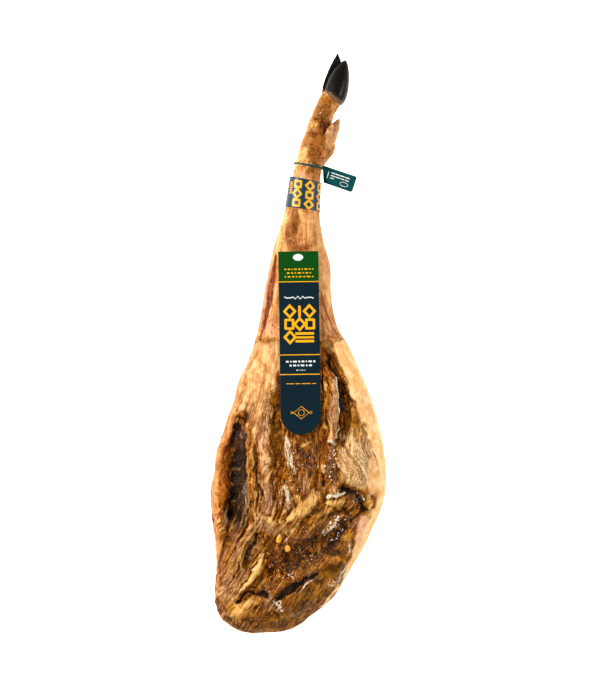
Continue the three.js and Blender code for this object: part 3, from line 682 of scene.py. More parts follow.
        (0.4, 0, [(-14, -150, 10), (14, -176, 12), (-14, -230, 8)]),
        (0.5, 0, [(68, -290, 4), (60, -338, 6)]),
    ],
}


def nearnessToPath(x, y, path):
    # Distance to the path as a share of its reach there.
    best = np.full(len(x), np.inf)
    for (ax, ay, ar), (bx, by, br) in zip(path, path[1:]):
        span = max((bx - ax) ** 2 + (by - ay) ** 2, 1e-6)
        t = np.clip(((x - ax) * (bx - ax) + (y - ay) * (by - ay)) / span, 0, 1)
        distance = np.hypot(x - ax - t * (bx - ax), y - ay - t * (by - ay))
        best = np.minimum(best, distance / (ar + (br - ar) * t))
    return best


def raggedPlan(points):
    # Plan places pushed about a little, so that no stroke has a clean edge.
    torn = 1 - 0.65 * smoothStep(-5, 15, points[:, 1])
    coarse = 3.0 * lumps(points, 12, 1) + 1.3 * lumps(points, 4.5, 2)
    sway = 3.6 * lumps(points, 15, 3) + 1.6 * lumps(points, 5, 4)
    return points[:, 0] + coarse * torn, points[:, 1] + sway * torn


def layerStrength(x, y, strokes):
    strength = np.zeros(len(x))
    lift = np.zeros(len(x))
    for most, height, path in strokes:
        share = 1 - smoothStep(0.25, 1.35, nearnessToPath(x, y, path))
        strength = 1 - (1 - strength) * (1 - most * share)
        lift = lift + height * share
    return strength, lift


def fibrePlaces(points, plan):
    # Across and along the muscle, which narrows with the leg and turns to the lower left at the rump.
    y = points[:, 1]
    rows = np.arange(-420, 371, 10.0)
    left = np.array([points[np.abs(y - row) < 8, 0].min() for row in rows[:-1]])
    right = np.array([points[np.abs(y - row) < 8, 0].max() for row in rows[:-1]])
    middle = np.interp(y, rows[:-1], (left + right) / 2)
    half = np.maximum(np.interp(y, rows[:-1], (right - left) / 2), 12)
    past = np.logaddexp(0, -(y + plan["legLean"]) / 18) * 18
    across = (points[:, 0] - middle) / half * 100
    leaning = points[:, 0] + plan["leanSlope"] * past
    turn = smoothStep(-190, -270, y)
    sway = plan["strandSway"] * (lumps(points, 34, 61) + 0.5 * lumps(points, 13, 62))
    for place, reach, slope in plan["slants"]:
        near = np.exp(-((points[:, :2] - place) ** 2).sum(axis=1) / reach ** 2)
        across = across + slope * near * (y - place[1])
    return np.column_stack((across * (1 - turn) + leaning * turn + sway, y, points[:, 2] * 0.4))


def strandRelief(places, plan):
    stretched = places / np.array([plan["strandWidth"], plan["strandLength"], 12.0])
    ridges = 2 * np.abs(lumps(stretched, 1.0, 11)) ** 0.6 - 1  # round bundles between sharp furrows
    return ridges + 0.45 * lumps(stretched * np.array([1.9, 1.6, 2.0]), 1.0, 12)


def cavityOf(mesh, points, passes):
    # How far each point lies below the smoothed surface round it.
    edges = np.empty(len(mesh.edges) * 2, dtype=np.int32)
    mesh.edges.foreach_get("vertices", edges)
    a, b = edges.reshape(-1, 2).T
    count = np.bincount(a, minlength=len(points)) + np.bincount(b, minlength=len(points))
    smoothed = points.copy()
    for _ in range(passes):
        total = np.zeros_like(points)
        for axis in range(3):
            total[:, axis] = np.bincount(a, smoothed[b, axis], len(points))
            total[:, axis] += np.bincount(b, smoothed[a, axis], len(points))
        smoothed = 0.5 * smoothed + 0.5 * total / count[:, None]
    return ((smoothed - points) * normalsOf(mesh)).sum(axis=1)


def pastSkinEnd(points, plan):
    # How far a point lies above the wavering line at which the skin of the shank stops.
    return points[:, 1] + plan["skinEndSway"] * lumps(points, 9, 21) - plan["skinEndY"]


def shapeHam(plan, layers):
    mesh = refinedMesh("ham", plan["levels"])
    points = pointsOf(mesh)
    for place, reach, push in plan["nudges"]:
        share = np.exp(-((points[:, :2] - place) ** 2).sum(axis=1) / reach ** 2)
        points[:, :2] += share[:, None] * push
    movePoints(mesh, points)
    normals = normalsOf(mesh)
    x, y = raggedPlan(points)
    upward = smoothStep(0.05, 0.45, normals[:, 2])
    aboveRind = points[:, 2] + 5 * lumps(points, 16, 22) - plan["rindHeight"]
    rind = 1 - smoothStep(-14, 4, aboveRind)
    skin = np.maximum(smoothStep(-2, 2, pastSkinEnd(points, plan)), rind)
    face = 1 - skin
    fields = {}
    lift = np.zeros(len(points))
    for name, strokes in layers.items():
        strength, height = layerStrength(x, y, strokes)
        where = upward * (1 - rind) if name in skinLayers else face
        fields[name] = strength * where
        lift += plan["strokeRelief"] * height * where
    lift += layerStrength(x, y, [(0, rise, path) for rise, path in plan["forms"]])[1] * face
    places = fibrePlaces(points, plan)
    smooth = np.maximum.reduce([share * fields[name] for name, share in plan["smoothness"].items()])
    fibre = np.clip(face * (1 - smooth), 0, 1)
    lift += plan["strandRelief"] * strandRelief(places, plan) * (0.08 * face + 0.92 * fibre)
    knobs = lumps(points, 17, 31) + 0.6 * lumps(points, 7, 32)
    lift += plan["lumpRelief"] * face * knobs * (0.3 + 0.7 * fibre)
    lift += plan["skinRelief"] * skin * (lumps(points, 24, 33) + 0.5 * lumps(points, 9, 34))
    wrinkles = lumps(points * np.array([0.4, 1, 0.4]), 5.0, 35)
    lift += plan["wrinkleRelief"] * smoothStep(240, 270, points[:, 1]) * wrinkles
    lift += fields["wet"] * (0.9 * lumps(points, 6.5, 36) + 0.55 * lumps(points, 3.4, 37))
    points = points + normals * lift[:, None]
    points[:, 2] = np.maximum(points[:, 2], 0)
    movePoints(mesh, points)
    fields["skin"] = skin
    # Darker skin towards the bottom of the sides: painted shade.
    fields["rind"] = smoothStep(46, 28, points[:, 2] + 4 * lumps(points, 16, 23))
    fields["hide"] = smoothStep(0, 14, points[:, 1] + 4 * lumps(points, 9, 24) - plan["hideStart"])
    fields["cutEdge"] = upward * np.exp(-(pastSkinEnd(points, plan) / plan["cutEdgeWidth"]) ** 2)
    fields["fibre"] = fibre
    fields["cavity"] = cavityOf(mesh, points, plan["cavityPasses"])
    for name, values in fields.items():
        storeField(mesh, name, values)
    storePlaces(mesh, "strand", places)
    return mesh


# Paint of the surface, the lowest layer first: its hollow and its crest shade, the height that tells
# them apart, the pattern that tears its edge, how far it tears and how soft the edge is.
# The heights share the bump's fibres and the modelled hollows, so hollow shades are partly painted shade and
# crest shades partly painted light.
hamPaint = [
    ("rust", "#582602", "#B8681A", "fibrous", "clots", 2.4, 0.25),
    ("pale", "#8A5018", "#F4BA80", "fibrous", "strands", 3.0, 0.28),
    ("rose", "#925A36", "#F0B688", "fibrous", "threads", 3.0, 0.30),
    ("olive", "#462402", "#A0660A", "smooth", "clots", 2.0, 0.28),
    ("brown", "#280D00", "#C06C08", "lumpy", "clots", 2.0, 0.28),
    # Partly painted shade in the deep channel, its pinkish-grey crests painted highlights.
    ("umber", "#34200E", "#A0764C", "fibrous", "threads", 3.0, 0.3),
    ("amber", "#82440A", "#DC9632", "smooth", "strands", 2.6, 0.34),
    # Painted sheen: grey-lilac streaks as glints.
    ("grey", "#241610", "#B4967E", "granular", "weave", 4.0, 0.30),
    ("gold", "#B87C30", "#F2C478", "smooth", "weave", 3.2, 0.46),
    ("tallow", "#BE8A4E", "#F2CE98", "fibrous", "weave", 4.4, 0.5),
    ("fat", "#B47A44", "#E0B47C", "smooth", "strands", 3.4, 0.45),
    ("lip", "#9A5A24", "#D89458", "smooth", "clots", 1.4, 0.35),
    ("rim", "#ECAC66", "#FFD8A0", "smooth", "mottling", 1.0, 0.35),
    ("pink", "#E0A074", "#FCCCA4", "smooth", "threads", 2.4, 0.45),
    # Painted shade: near-black brown laid in the grooves, cracks and channel.
    ("dark", "#1E0C02", "#643610", "fibrous", "weave", 3.6, 0.40),
    # Partly cream fat and partly painted highlights, near white on ridge crests and wet edges.
    ("creamAndHighlights", "#CCA468", "#FFF6DC", "fibrous", "weave", 4.0, 0.28),
    # Partly pale specks of dried fat, partly painted highlights on the wet lean.
    ("flecksAndHighlights", "#D8B488", "#FFF6E4", "lumpy", "blots", 8.0, 0.1),
    ("skin", "#9C5A24", "#D89C60", "streaked", "speckle", 0.4, 0.25),
    # Painted shade: the skin darker towards the bottom of the sides.
    ("rind", "#7A4216", "#BC8044", "streaked", "streaks", 0.8, 0.4),
    ("hide", "#905418", "#E0A462", "mottled", "streaks", 0.6, 0.4),
    # Painted light: lighter cream-orange skin.
    ("paintedLight", "#C88648", "#E6B478", "streaked", "streaks", 1.6, 0.45),
    # Partly the skin's reddish tone, partly painted shade.
    ("blushAndShade", "#9C5230", "#DC9C76", "streaked", "streaks", 1.4, 0.45),
    ("mottle", "#4C2204", "#9A5C1E", "mottled", "clots", 2.4, 0.42),
    # Painted shade in the skin's folds and creases.
    ("fold", "#4A1A08", "#98502A", "streaked", "streaks", 0.8, 0.45),
]

# Shades of bare lean from its deepest hollows to its crests: partly painted shade in the hollows and painted
# light on the crests
leanShades = [(0.38, "#221002"), (0.44, "#643406"), (0.50, "#A46018"), (0.56, "#CE8C3E"), (0.64, "#ECB470")]


def curedSurface(paint, lean):
    # Air-cured pork: satin oily fat and taut rind, torn lean, and wet parts with small hard glints.
    material, tree, shader = newMaterial("airCuredPork", {
        "Roughness": 0.55,
        "Subsurface Weight": 0.05,
        "Subsurface Radius": (1.0, 0.45, 0.2),
        "Subsurface Scale": 0.0012,
        "IOR": 1.45,
        "Specular IOR Level": 0.06,
        "Coat Roughness": 0.14,
        "Coat IOR": 1.45,
    })
    place = addNode(tree, "ShaderNodeTexCoord").outputs["Object"]
    flow = addNode(tree, "ShaderNodeAttribute", {"attribute_name": "strand"}).outputs["Vector"]
    painted = {
        name: addNode(tree, "ShaderNodeAttribute", {"attribute_name": name}).outputs["Fac"]
        for name in (*(row[0] for row in paint), "fibre", "wet", "cavity")}

    # Patterns along the muscle, along the leg and in the round: a period for each axis in millimetres.
    # Real muscle bundles are about a third as wide, too fine to show from where the camera stands.
    pattern = {}
    for name, source, unit, periods, detail in (
            ("strands", flow, 1, (5.4, 38, 10), 4.0), ("threads", flow, 1, (2.8, 19, 10), 2.0),
            ("streaks", place, 1000, (4.5, 50, 9), 4.0), ("mottling", place, 1000, (17, 17, 17), 5.0),
            ("clots", place, 1000, (5.5, 5.5, 5.5), 4.0), ("crumple", place, 1000, (5.6, 5.6, 5.6), 2.0),
            ("speckle", place, 1000, (2.5, 2.5, 2.5), 1.0)):
        scaled = addNode(
            tree, "ShaderNodeVectorMath", {"operation": "MULTIPLY"},
            {1: [unit / period for period in periods]}, {0: source})
        pattern[name] = addNode(
            tree, "ShaderNodeTexNoise", None,
            {"Scale": 1.0, "Detail": detail, "Roughness": 0.6, "Distortion": 0.3}, {"Vector": scaled})
    # Folded at their middle they turn into round bundles and lumps between sharp furrows.
    for name, source in (("bundles", "strands"), ("filaments", "threads"), ("granules", "crumple")):
        folded = addNode(tree, "ShaderNodeMath", {"operation": "PINGPONG"}, {1: 0.5}, {0: pattern[source]})
        pattern[name] = addNode(
            tree, "ShaderNodeMath", {"operation": "MULTIPLY_ADD"}, {1: -2.5, 2: 1.55}, {0: folded})

    # Heights as weighted sums of patterns; the modelled hollows count in them as painted shade.
    recipes = {
        "weave": (("bundles", 0.36), ("filaments", 0.30), ("clots", 0.20), ("speckle", 0.14)),
        "fibrous": (("bundles", 0.22), ("filaments", 0.24), ("strands", 0.16), ("mottling", 0.20),
                    ("speckle", 0.18), ("cavity", -0.07)),
        "smooth": (("mottling", 0.42), ("clots", 0.24), ("strands", 0.18), ("filaments", 0.16),
                   ("cavity", -0.04)),
        "granular": (("clots", 0.30), ("speckle", 0.45), ("filaments", 0.25), ("cavity", -0.03)),
        "lumpy": (("granules", 0.32), ("filaments", 0.18), ("clots", 0.22), ("mottling", 0.14),
                  ("speckle", 0.14), ("cavity", -0.06)),
        "blots": (("clots", 0.55), ("speckle", 0.45)),
        "mottled": (("mottling", 0.35), ("clots", 0.40), ("speckle", 0.25), ("cavity", -0.05)),
        "streaked": (("streaks", 0.42), ("mottling", 0.28), ("clots", 0.20), ("speckle", 0.10),
                     ("cavity", -0.05)),
    }
    height = dict(pattern)
    for name, parts in recipes.items():
        total = None
        for source, weight in parts:
            links = {0: painted.get(source) or pattern[source]}
            values = {1: weight}
            if total:
                links[2] = total
            else:
                values[2] = 0.0
            total = addNode(tree, "ShaderNodeMath", {"operation": "MULTIPLY_ADD"}, values, links).outputs[0]
        height[name] = total

    ramp = addNode(tree, "ShaderNodeValToRGB", None, None, {"Fac": height["fibrous"]})
    while len(ramp.color_ramp.elements) < len(lean):
        ramp.color_ramp.elements.new(1.0)
    for element, (at, shade) in zip(ramp.color_ramp.elements, lean):
        element.position = at
        element.color = linearFromHex(shade)
    colour = ramp.outputs["Color"]
    for name, hollow, crest, shadedBy, tornBy, tearing, softness in paint:
        share = addNode(
            tree, "ShaderNodeMapRange", {"interpolation_type": "SMOOTHSTEP"},
            {"From Min": 0.42, "From Max": 0.58}, {"Value": height[shadedBy]})
        shades = addNode(
            tree, "ShaderNodeMix", {"data_type": "RGBA"}, {6: linearFromHex(hollow), 7: linearFromHex(crest)},
            {0: share})
        ragged = addNode(
            tree, "ShaderNodeMath", {"operation": "MULTIPLY_ADD"}, {1: tearing, 2: 1 - tearing / 2},
            {0: height[tornBy]})
        torn = addNode(
            tree, "ShaderNodeMath", {"operation": "MULTIPLY"}, None, {0: ragged, 1: painted[name]})
        gate = addNode(
            tree, "ShaderNodeMapRange", {"interpolation_type": "SMOOTHSTEP"},
            {"From Min": 0.5 - softness, "From Max": 0.5 + softness}, {"Value": torn})
        colour = addNode(
            tree, "ShaderNodeMix", {"data_type": "RGBA"}, None, {0: gate, 6: colour, 7: shades})

    # Painted shade: modelled hollows are darkened toward brown in the colour itself.
    paintedHollowShade = addNode(
        tree, "ShaderNodeMapRange", {"interpolation_type": "SMOOTHSTEP"},
        {"From Min": 0.1, "From Max": 1.5, "To Max": 0.8}, {"Value": painted["cavity"]})
    colour = addNode(
        tree, "ShaderNodeMix", {"data_type": "RGBA", "blend_type": "MULTIPLY"}, {7: linearFromHex("#7A4418")},
        {0: paintedHollowShade, 6: colour})
    tree.links.new(colour.outputs[2], shader.inputs["Base Color"])

    # Oil gathers in patches; wet parts are all under it.
    glaze = addNode(
        tree, "ShaderNodeMath", {"operation": "MULTIPLY_ADD"}, {1: 2.4},
        {0: height["clots"], 2: painted["wet"]})
    film = addNode(
        tree, "ShaderNodeMapRange", {"interpolation_type": "SMOOTHSTEP"},
        {"From Min": 1.25, "From Max": 1.9, "To Max": 0.8}, {"Value": glaze})
    tree.links.new(film.outputs[0], shader.inputs["Coat Weight"])

    # Fibres stand out on bare lean and fade under fat and skin. Wet parts are lumpy, and all is grained.
    strength = addNode(
        tree, "ShaderNodeMath", {"operation": "MULTIPLY_ADD"}, {1: 0.85, 2: 0.15}, {0: painted["fibre"]})
    fibreBump = addNode(
        tree, "ShaderNodeBump", None, {"Distance": 0.014}, {"Height": height["weave"], "Strength": strength})
    lumpBump = addNode(
        tree, "ShaderNodeBump", None, {"Distance": 0.009},
        {"Height": height["granules"], "Strength": painted["wet"], "Normal": fibreBump})
    grainBump = addNode(
        tree, "ShaderNodeBump", None, {"Strength": 0.6, "Distance": 0.0008},
        {"Height": height["speckle"], "Normal": lumpBump})
    tree.links.new(grainBump.outputs[0], shader.inputs["Normal"])
    tree.links.new(grainBump.outputs[0], shader.inputs["Coat Normal"])
    return material


ham = newPiece("curedHam", shapeHam(hamPlan, hamLayers), curedSurface(hamPaint, leanShades))
finishPiece(ham, "ham")
print("ham shaped:", len(ham.data.polygons), "faces")


# Crumbs on the ham: dried flecks over the lean, pale specks as painted glints, and fat along the cut edge of
# the skin.
# Sizes are the half sizes of the smallest and the largest crumb.

crumbPlans = {
    # Pale crumbs of dried fat, which also stand in for painted glints where the wet lean shines.
    "driedFlecksAndGlints": {
        "field": "flecksAndHighlights",
        "perSquareMetre": 42000.0,
        "smallest": (0.3, 0.3, 0.2),
        "largest": (1.5, 1.1, 0.5),
        "shade": "#EBD3AC",
        "seed": 4,
    },
    # Near-white specks scattered where the wet lean glints: painted highlights.
    "paintedGlintSpecks": {
        "field": "glints",
        "perSquareMetre": 170000.0,
        "smallest": (0.4, 0.35, 0.25),
        "largest": (2.0, 1.3, 0.6),
        "shade": "#FFF0E2",
        "seed": 6,
    },
    "edgeCrumbs": {
        "field": "cutEdge",
        "perSquareMetre": 190000.0,
        "smallest": (0.4, 0.4, 0.3),
        "largest": (1.7, 1.3, 0.9),
        "shade": "#D2943C",
        "seed": 9,
    },
}


def crumbTree():
    # Scatters squashed crumbs over a surface, thickest where its field is strongest.
    tree = bpy.data.node_groups.new("crumbs", "GeometryNodeTree")
    for name, kind in (
            ("Surface", "Geometry"), ("Field", "String"), ("Per Square Metre", "Float"),
            ("Smallest", "Vector"), ("Largest", "Vector"), ("Seed", "Int"), ("Finish", "Material")):
        tree.interface.new_socket(name, in_out="INPUT", socket_type="NodeSocket" + kind)
    tree.interface.new_socket("Crumbs", in_out="OUTPUT", socket_type="NodeSocketGeometry")
    given = addNode(tree, "NodeGroupInput").outputs
    field = addNode(
        tree, "GeometryNodeInputNamedAttribute", {"data_type": "FLOAT"}, None, {"Name": given["Field"]})
    density = addNode(
        tree, "ShaderNodeMath", {"operation": "MULTIPLY"}, None, {0: field, 1: given["Per Square Metre"]})
    spread = addNode(
        tree, "GeometryNodeDistributePointsOnFaces", None, None,
        {"Mesh": given["Surface"], "Density": density, "Seed": given["Seed"]})
    size = addNode(
        tree, "FunctionNodeRandomValue", {"data_type": "FLOAT_VECTOR"}, None,
        {0: given["Smallest"], 1: given["Largest"], "Seed": given["Seed"]})
    crumb = addNode(tree, "GeometryNodeMeshIcoSphere", None, {"Radius": 1.0, "Subdivisions": 1})
    placed = addNode(
        tree, "GeometryNodeInstanceOnPoints", None, None,
        {"Points": spread.outputs["Points"], "Instance": crumb, "Rotation": spread.outputs["Rotation"],
         "Scale": size})
    real = addNode(tree, "GeometryNodeRealizeInstances", None, None, {0: placed})
    smooth = addNode(tree, "GeometryNodeSetShadeSmooth", None, None, {0: real})
    finished = addNode(
        tree, "GeometryNodeSetMaterial", None, None, {"Geometry": smooth, "Material": given["Finish"]})
    addNode(tree, "NodeGroupOutput", None, None, {0: finished})
    return tree


def scatterCrumbs(name, plan, tree, surface, finish):
    piece = newPiece(name + "Source", surface.copy())
    modifier = piece.modifiers.new("scatter", "NODES")
    modifier.node_group = tree
    values = {
        "Field": plan["field"],
        "Per Square Metre": plan["perSquareMetre"],
        "Smallest": [size * millimetre for size in plan["smallest"]],
        "Largest": [size * millimetre for size in plan["largest"]],
        "Seed": plan["seed"],
        "Finish": finish,
    }
    for socket in tree.interface.items_tree:
        if socket.name in values:
            modifier[socket.identifier] = values[socket.name]
    mesh = evaluatedMesh(piece, name)
    bpy.data.objects.remove(piece)
    return mesh


def fattyCrumb(name, shade):
    # Dry fat with a waxy shine; on the glint specks it is a painted highlight.
    material, _, _ = newMaterial(name, {
        "Base Color": linearFromHex(shade), "Roughness": 0.35, "Specular IOR Level": 0.4,
        "Subsurface Weight": 0.1, "Subsurface Scale": 0.001})
    return material


crumbs = crumbTree()
for name, plan in crumbPlans.items():
    crumbFat = fattyCrumb(name + "Fat", plan["shade"])
    scattered = newPiece(name, scatterCrumbs(name, plan, crumbs, ham.data, crumbFat))
    finishPiece(scattered)
    print(name, "scattered:", len(scattered.data.polygons), "faces")


# Two beads of fat that have run out and set

beadPlan = {
    # place, half width, half length and half height, lean in degrees, and shade
    "upperBead": ((-28.5, -279.0), (3.8, 6.6, 2.6), -14, "#D89A10"),
    "lowerBead": ((-16.5, -293.0), (4.0, 5.6, 2.6), 10, "#EBA036"),
}


def shapeBead(place, half, lean, surface, sinking=0.2):
    shape = bmesh.new()
    bmesh.ops.create_icosphere(shape, subdivisions=4, radius=1.0)
    mesh = bpy.data.meshes.new("bead")
    shape.to_mesh(mesh)
    shape.free()
    ball = pointsOf(mesh) * millimetre
    near = surface[np.hypot(surface[:, 0] - place[0], surface[:, 1] - place[1]) < 3.5]
    turn = math.radians(lean)
    points = ball * half
    points[:, 0] *= 1 - 0.3 * ball[:, 1]
    points += 0.35 * lumps(points, 3.2, 71)[:, None] * ball
    x = points[:, 0] * math.cos(turn) - points[:, 1] * math.sin(turn) + place[0]
    y = points[:, 0] * math.sin(turn) + points[:, 1] * math.cos(turn) + place[1]
    movePoints(mesh, np.column_stack((x, y, points[:, 2] + near[:, 2].max() - sinking)))
    shadeSmooth(mesh)
    return mesh


hamSurface = pointsOf(ham.data)
for name, (place, half, lean, shade) in beadPlan.items():
    # Clear golden fat, glassy on its surface.
    fat, _, _ = newMaterial(name + "Fat", {
        "Base Color": linearFromHex(shade), "Roughness": 0.25, "Subsurface Weight": 0.3,
        "Subsurface Scale": 0.003, "Coat Weight": 0.6, "Coat Roughness": 0.06})
    bead = newPiece(name, shapeBead(place, half, lean, hamSurface), fat)
    finishPiece(bead)
print("beads of fat shaped")


# Claws of the hoof

clawPlan = {
    "levels": 3,
    "creaseAngle": 0.9,
    "root": (47.0, 352.0),
    "direction": (0.243, 0.970),
    "ringSpacing": 3.4,
    "ringRelief": 0.16,
    "wornLength": 8.0,
    "horn": ("#060403", "#241C15"),  # between scratches and along them
    "wornHorn": "#8C7250",
}


def shapeClaw(node, plan):
    mesh = refinedMesh(node, plan["levels"], plan["creaseAngle"])
    points = pointsOf(mesh)
    normals = normalsOf(mesh)
    along = (points[:, 0] - plan["root"][0]) * plan["direction"][0]
    along += (points[:, 1] - plan["root"][1]) * plan["direction"][1]
    across = (points[:, 0] - plan["root"][0]) * plan["direction"][1]
    across -= (points[:, 1] - plan["root"][1]) * plan["direction"][0]
    wavering = along + 1.3 * lumps(points, 14, 41) + 0.35 * across
    rings = np.sin(wavering * 2 * math.pi / plan["ringSpacing"])
    lift = plan["ringRelief"] * rings + 0.35 * lumps(points, 6, 42) - 0.3
    movePoints(mesh, points + normals * lift[:, None])
    storeField(mesh, "rings", rings)
    storeField(mesh, "worn", 1 - smoothStep(0.3, 1, (along + 0.35 * across - 1) / plan["wornLength"]))
    grain = np.column_stack((across, along * 0.12, points[:, 2]))
    storePlaces(mesh, "grain", grain)
    return mesh


def blackHorn(plan):
    # Nearly black keratin, satin with a waxy sheen, scuffed grey along the grain and at the coronary edge.
    material, tree, shader = newMaterial("blackHorn", {
        "Roughness": 0.5, "IOR": 1.54, "Specular IOR Level": 0.07, "Coat Weight": 0.15,
        "Coat Roughness": 0.2})
    grain = addNode(tree, "ShaderNodeAttribute", {"attribute_name": "grain"}).outputs["Vector"]
    # Scratches about 0.9 mm apart, drawn out along the claw
    scratches = addNode(
        tree, "ShaderNodeTexNoise", None, {"Scale": 1.1, "Detail": 5.0, "Roughness": 0.65}, {"Vector": grain})
    worn = addNode(tree, "ShaderNodeAttribute", {"attribute_name": "worn"})
    shade = addNode(tree, "ShaderNodeMapRange", None, {"From Min": 0.45, "From Max": 0.78},
                    {"Value": scratches.outputs["Fac"]})
    deep, scratched = plan["horn"]
    horn = addNode(
        tree, "ShaderNodeMix", {"data_type": "RGBA"}, {6: linearFromHex(deep), 7: linearFromHex(scratched)},
        {0: shade.outputs[0]})
    patchy = addNode(
        tree, "ShaderNodeMath", {"operation": "MULTIPLY"}, None,
        {0: worn.outputs["Fac"], 1: scratches.outputs["Fac"]})
    edge = addNode(
        tree, "ShaderNodeMix", {"data_type": "RGBA"}, {7: linearFromHex(plan["wornHorn"])},
        {0: patchy.outputs[0], 6: horn.outputs[2]})
    bump = addNode(
        tree, "ShaderNodeBump", None, {"Strength": 0.5, "Distance": 0.0006},
        {"Height": scratches.outputs["Fac"]})
    tree.links.new(edge.outputs[2], shader.inputs["Base Color"])
    tree.links.new(bump.outputs[0], shader.inputs["Normal"])
    return material


horn = blackHorn(clawPlan)
for node, name in (("claw_near", "nearClaw"), ("claw_far", "farClaw")):
    claw = newPiece(name, shapeClaw(node, clawPlan), horn)
    finishPiece(claw, node)
print("claws shaped")


# Dewclaws

dewclawPlan = {
    "levels": 3,
    "wrinkleSpacing": 3.0,
    "wrinkleRelief": 0.25,
    "tipY": 322.0,
    "tipLength": 14.0,
    "patchSize": 9.0,
    "skin": ("#A0622C", "#D6A066"),
    "tip": "#C68E50",
}


def shapeDewclaw(node, plan):
    mesh = refinedMesh(node, plan["levels"])
    points = pointsOf(mesh)
    normals = normalsOf(mesh)
    wrinkles = lumps(points * np.array([0.4, 1, 0.4]), plan["wrinkleSpacing"], 51)
    lift = plan["wrinkleRelief"] * wrinkles + 0.5 * lumps(points, 8, 52) - 0.2
    movePoints(mesh, points + normals * lift[:, None])
    storeField(mesh, "tip", smoothStep(plan["tipY"] - plan["tipLength"], plan["tipY"], points[:, 1]))
    return mesh


def paleHorn(plan):
    # Pale waxy horn that passes into skin at its root, browner and harder at the tip.
    material, tree, shader = newMaterial("paleHorn", {
        "Roughness": 0.42, "Subsurface Weight": 0.15, "Subsurface Radius": (1.0, 0.5, 0.25),
        "Subsurface Scale": 0.003})
    place = addNode(tree, "ShaderNodeTexCoord").outputs["Object"]
    mottling = addNode(
        tree, "ShaderNodeTexNoise", None,
        {"Scale": 1 / (plan["patchSize"] * millimetre), "Detail": 5.0, "Roughness": 0.6}, {"Vector": place})
    shade = addNode(tree, "ShaderNodeMapRange", None, {"From Min": 0.35, "From Max": 0.65},
                    {"Value": mottling.outputs["Fac"]})
    dull, light = plan["skin"]
    skin = addNode(
        tree, "ShaderNodeMix", {"data_type": "RGBA"}, {6: linearFromHex(dull), 7: linearFromHex(light)},
        {0: shade.outputs[0]})
    tip = addNode(tree, "ShaderNodeAttribute", {"attribute_name": "tip"})
    colour = addNode(
        tree, "ShaderNodeMix", {"data_type": "RGBA"}, {7: linearFromHex(plan["tip"])},
        {0: tip.outputs["Fac"], 6: skin.outputs[2]})
    bump = addNode(
        tree, "ShaderNodeBump", None, {"Strength": 0.4, "Distance": 0.0008},
        {"Height": mottling.outputs["Fac"]})
    tree.links.new(colour.outputs[2], shader.inputs["Base Color"])
    tree.links.new(bump.outputs[0], shader.inputs["Normal"])
    return material


waxyHorn = paleHorn(dewclawPlan)
for node, name in (("dewclaw_near", "nearDewclaw"), ("dewclaw_far", "farDewclaw")):
    dewclaw = newPiece(name, shapeDewclaw(node, dewclawPlan), waxyHorn)
    finishPiece(dewclaw, node)
print("dewclaws shaped")


# Prints: plain shapes as signed distances in millimetres, negative inside

def boxField(u, v, centre, half):
    du = np.abs(u - centre[0]) - half[0]
    dv = np.abs(v - centre[1]) - half[1]
    return np.hypot(np.maximum(du, 0), np.maximum(dv, 0)) + np.minimum(np.maximum(du, dv), 0)


def diamondField(u, v, centre, half):
    slope = half[0] * half[1] / math.hypot(*half)
    return (np.abs(u - centre[0]) / half[0] + np.abs(v - centre[1]) / half[1] - 1) * slope


def ovalField(u, v, centre, half):
    return (np.hypot((u - centre[0]) / half[0], (v - centre[1]) / half[1]) - 1) * min(half)


def waveField(u, v, centre, half):
    height = centre[1] + half[1] * np.sin((u - centre[0]) * 0.85) * np.cos((u - centre[0]) * 0.11)
    return np.maximum(np.abs(v - height) * 0.6, np.abs(u - centre[0]) - half[0])


fieldKinds = {"box": boxField, "diamond": diamondField, "oval": ovalField, "wave": waveField}


def printField(u, v, shapes):
    # A shape is its kind, its centre, its half size and its line width, or 0 where it is filled.
    total = np.full(len(u), 5.0)
    for kind, centre, half, line in shapes:
        field = fieldKinds[kind](u, v, centre, half)
        total = np.minimum(total, np.abs(field) - line / 2 if line else field)
    return np.clip(total, -5, 5)


def printedMaterial(name, plan, values):
    # Paper fibres show through the print as flecks 0.7 mm apart.
    material, tree, shader = newMaterial(name, values)
    place = addNode(tree, "ShaderNodeTexCoord").outputs["Object"]
    fleck = addNode(
        tree, "ShaderNodeTexNoise", None, {"Scale": 1 / (0.7 * millimetre), "Detail": 2.0}, {"Vector": place})
    dark, light = plan["ground"]
    colour = addNode(
        tree, "ShaderNodeMix", {"data_type": "RGBA"}, {6: linearFromHex(dark), 7: linearFromHex(light)},
        {0: fleck.outputs["Fac"]}).outputs[2]
    for attribute, shade in plan["inks"].items():
        field = addNode(tree, "ShaderNodeAttribute", {"attribute_name": attribute})
        inside = addNode(
            tree, "ShaderNodeMapRange", None, {"From Min": 0.12, "From Max": -0.12},
            {"Value": field.outputs["Fac"]})
        colour = addNode(
            tree, "ShaderNodeMix", {"data_type": "RGBA"}, {7: linearFromHex(shade)},
            {0: inside.outputs[0], 6: colour}).outputs[2]
    bump = addNode(
        tree, "ShaderNodeBump", None, {"Strength": 0.08, "Distance": 0.0002},
        {"Height": fleck.outputs["Fac"]})
    tree.links.new(colour, shader.inputs["Base Color"])
    tree.links.new(bump.outputs[0], shader.inputs["Normal"])
    return material


def dashes(centreU, v, total, height, pattern):
    # A broken line of small bars, in place of a line of small print.
    unit = total / (sum(pattern) + len(pattern) - 1)
    at = centreU - total / 2
    bars = []
    for length in pattern:
        bars.append(("box", (at + length * unit / 2, v), (length * unit / 2, height / 2), 0))
        at += (length + 1) * unit
    return bars


# Uncoated grey-white core of the card and the sleeve, seen along their cut edges.
paperCore, _, _ = newMaterial("paperCore", {"Base Color": linearFromHex("#D9D6CC"), "Roughness": 0.8})


# Card

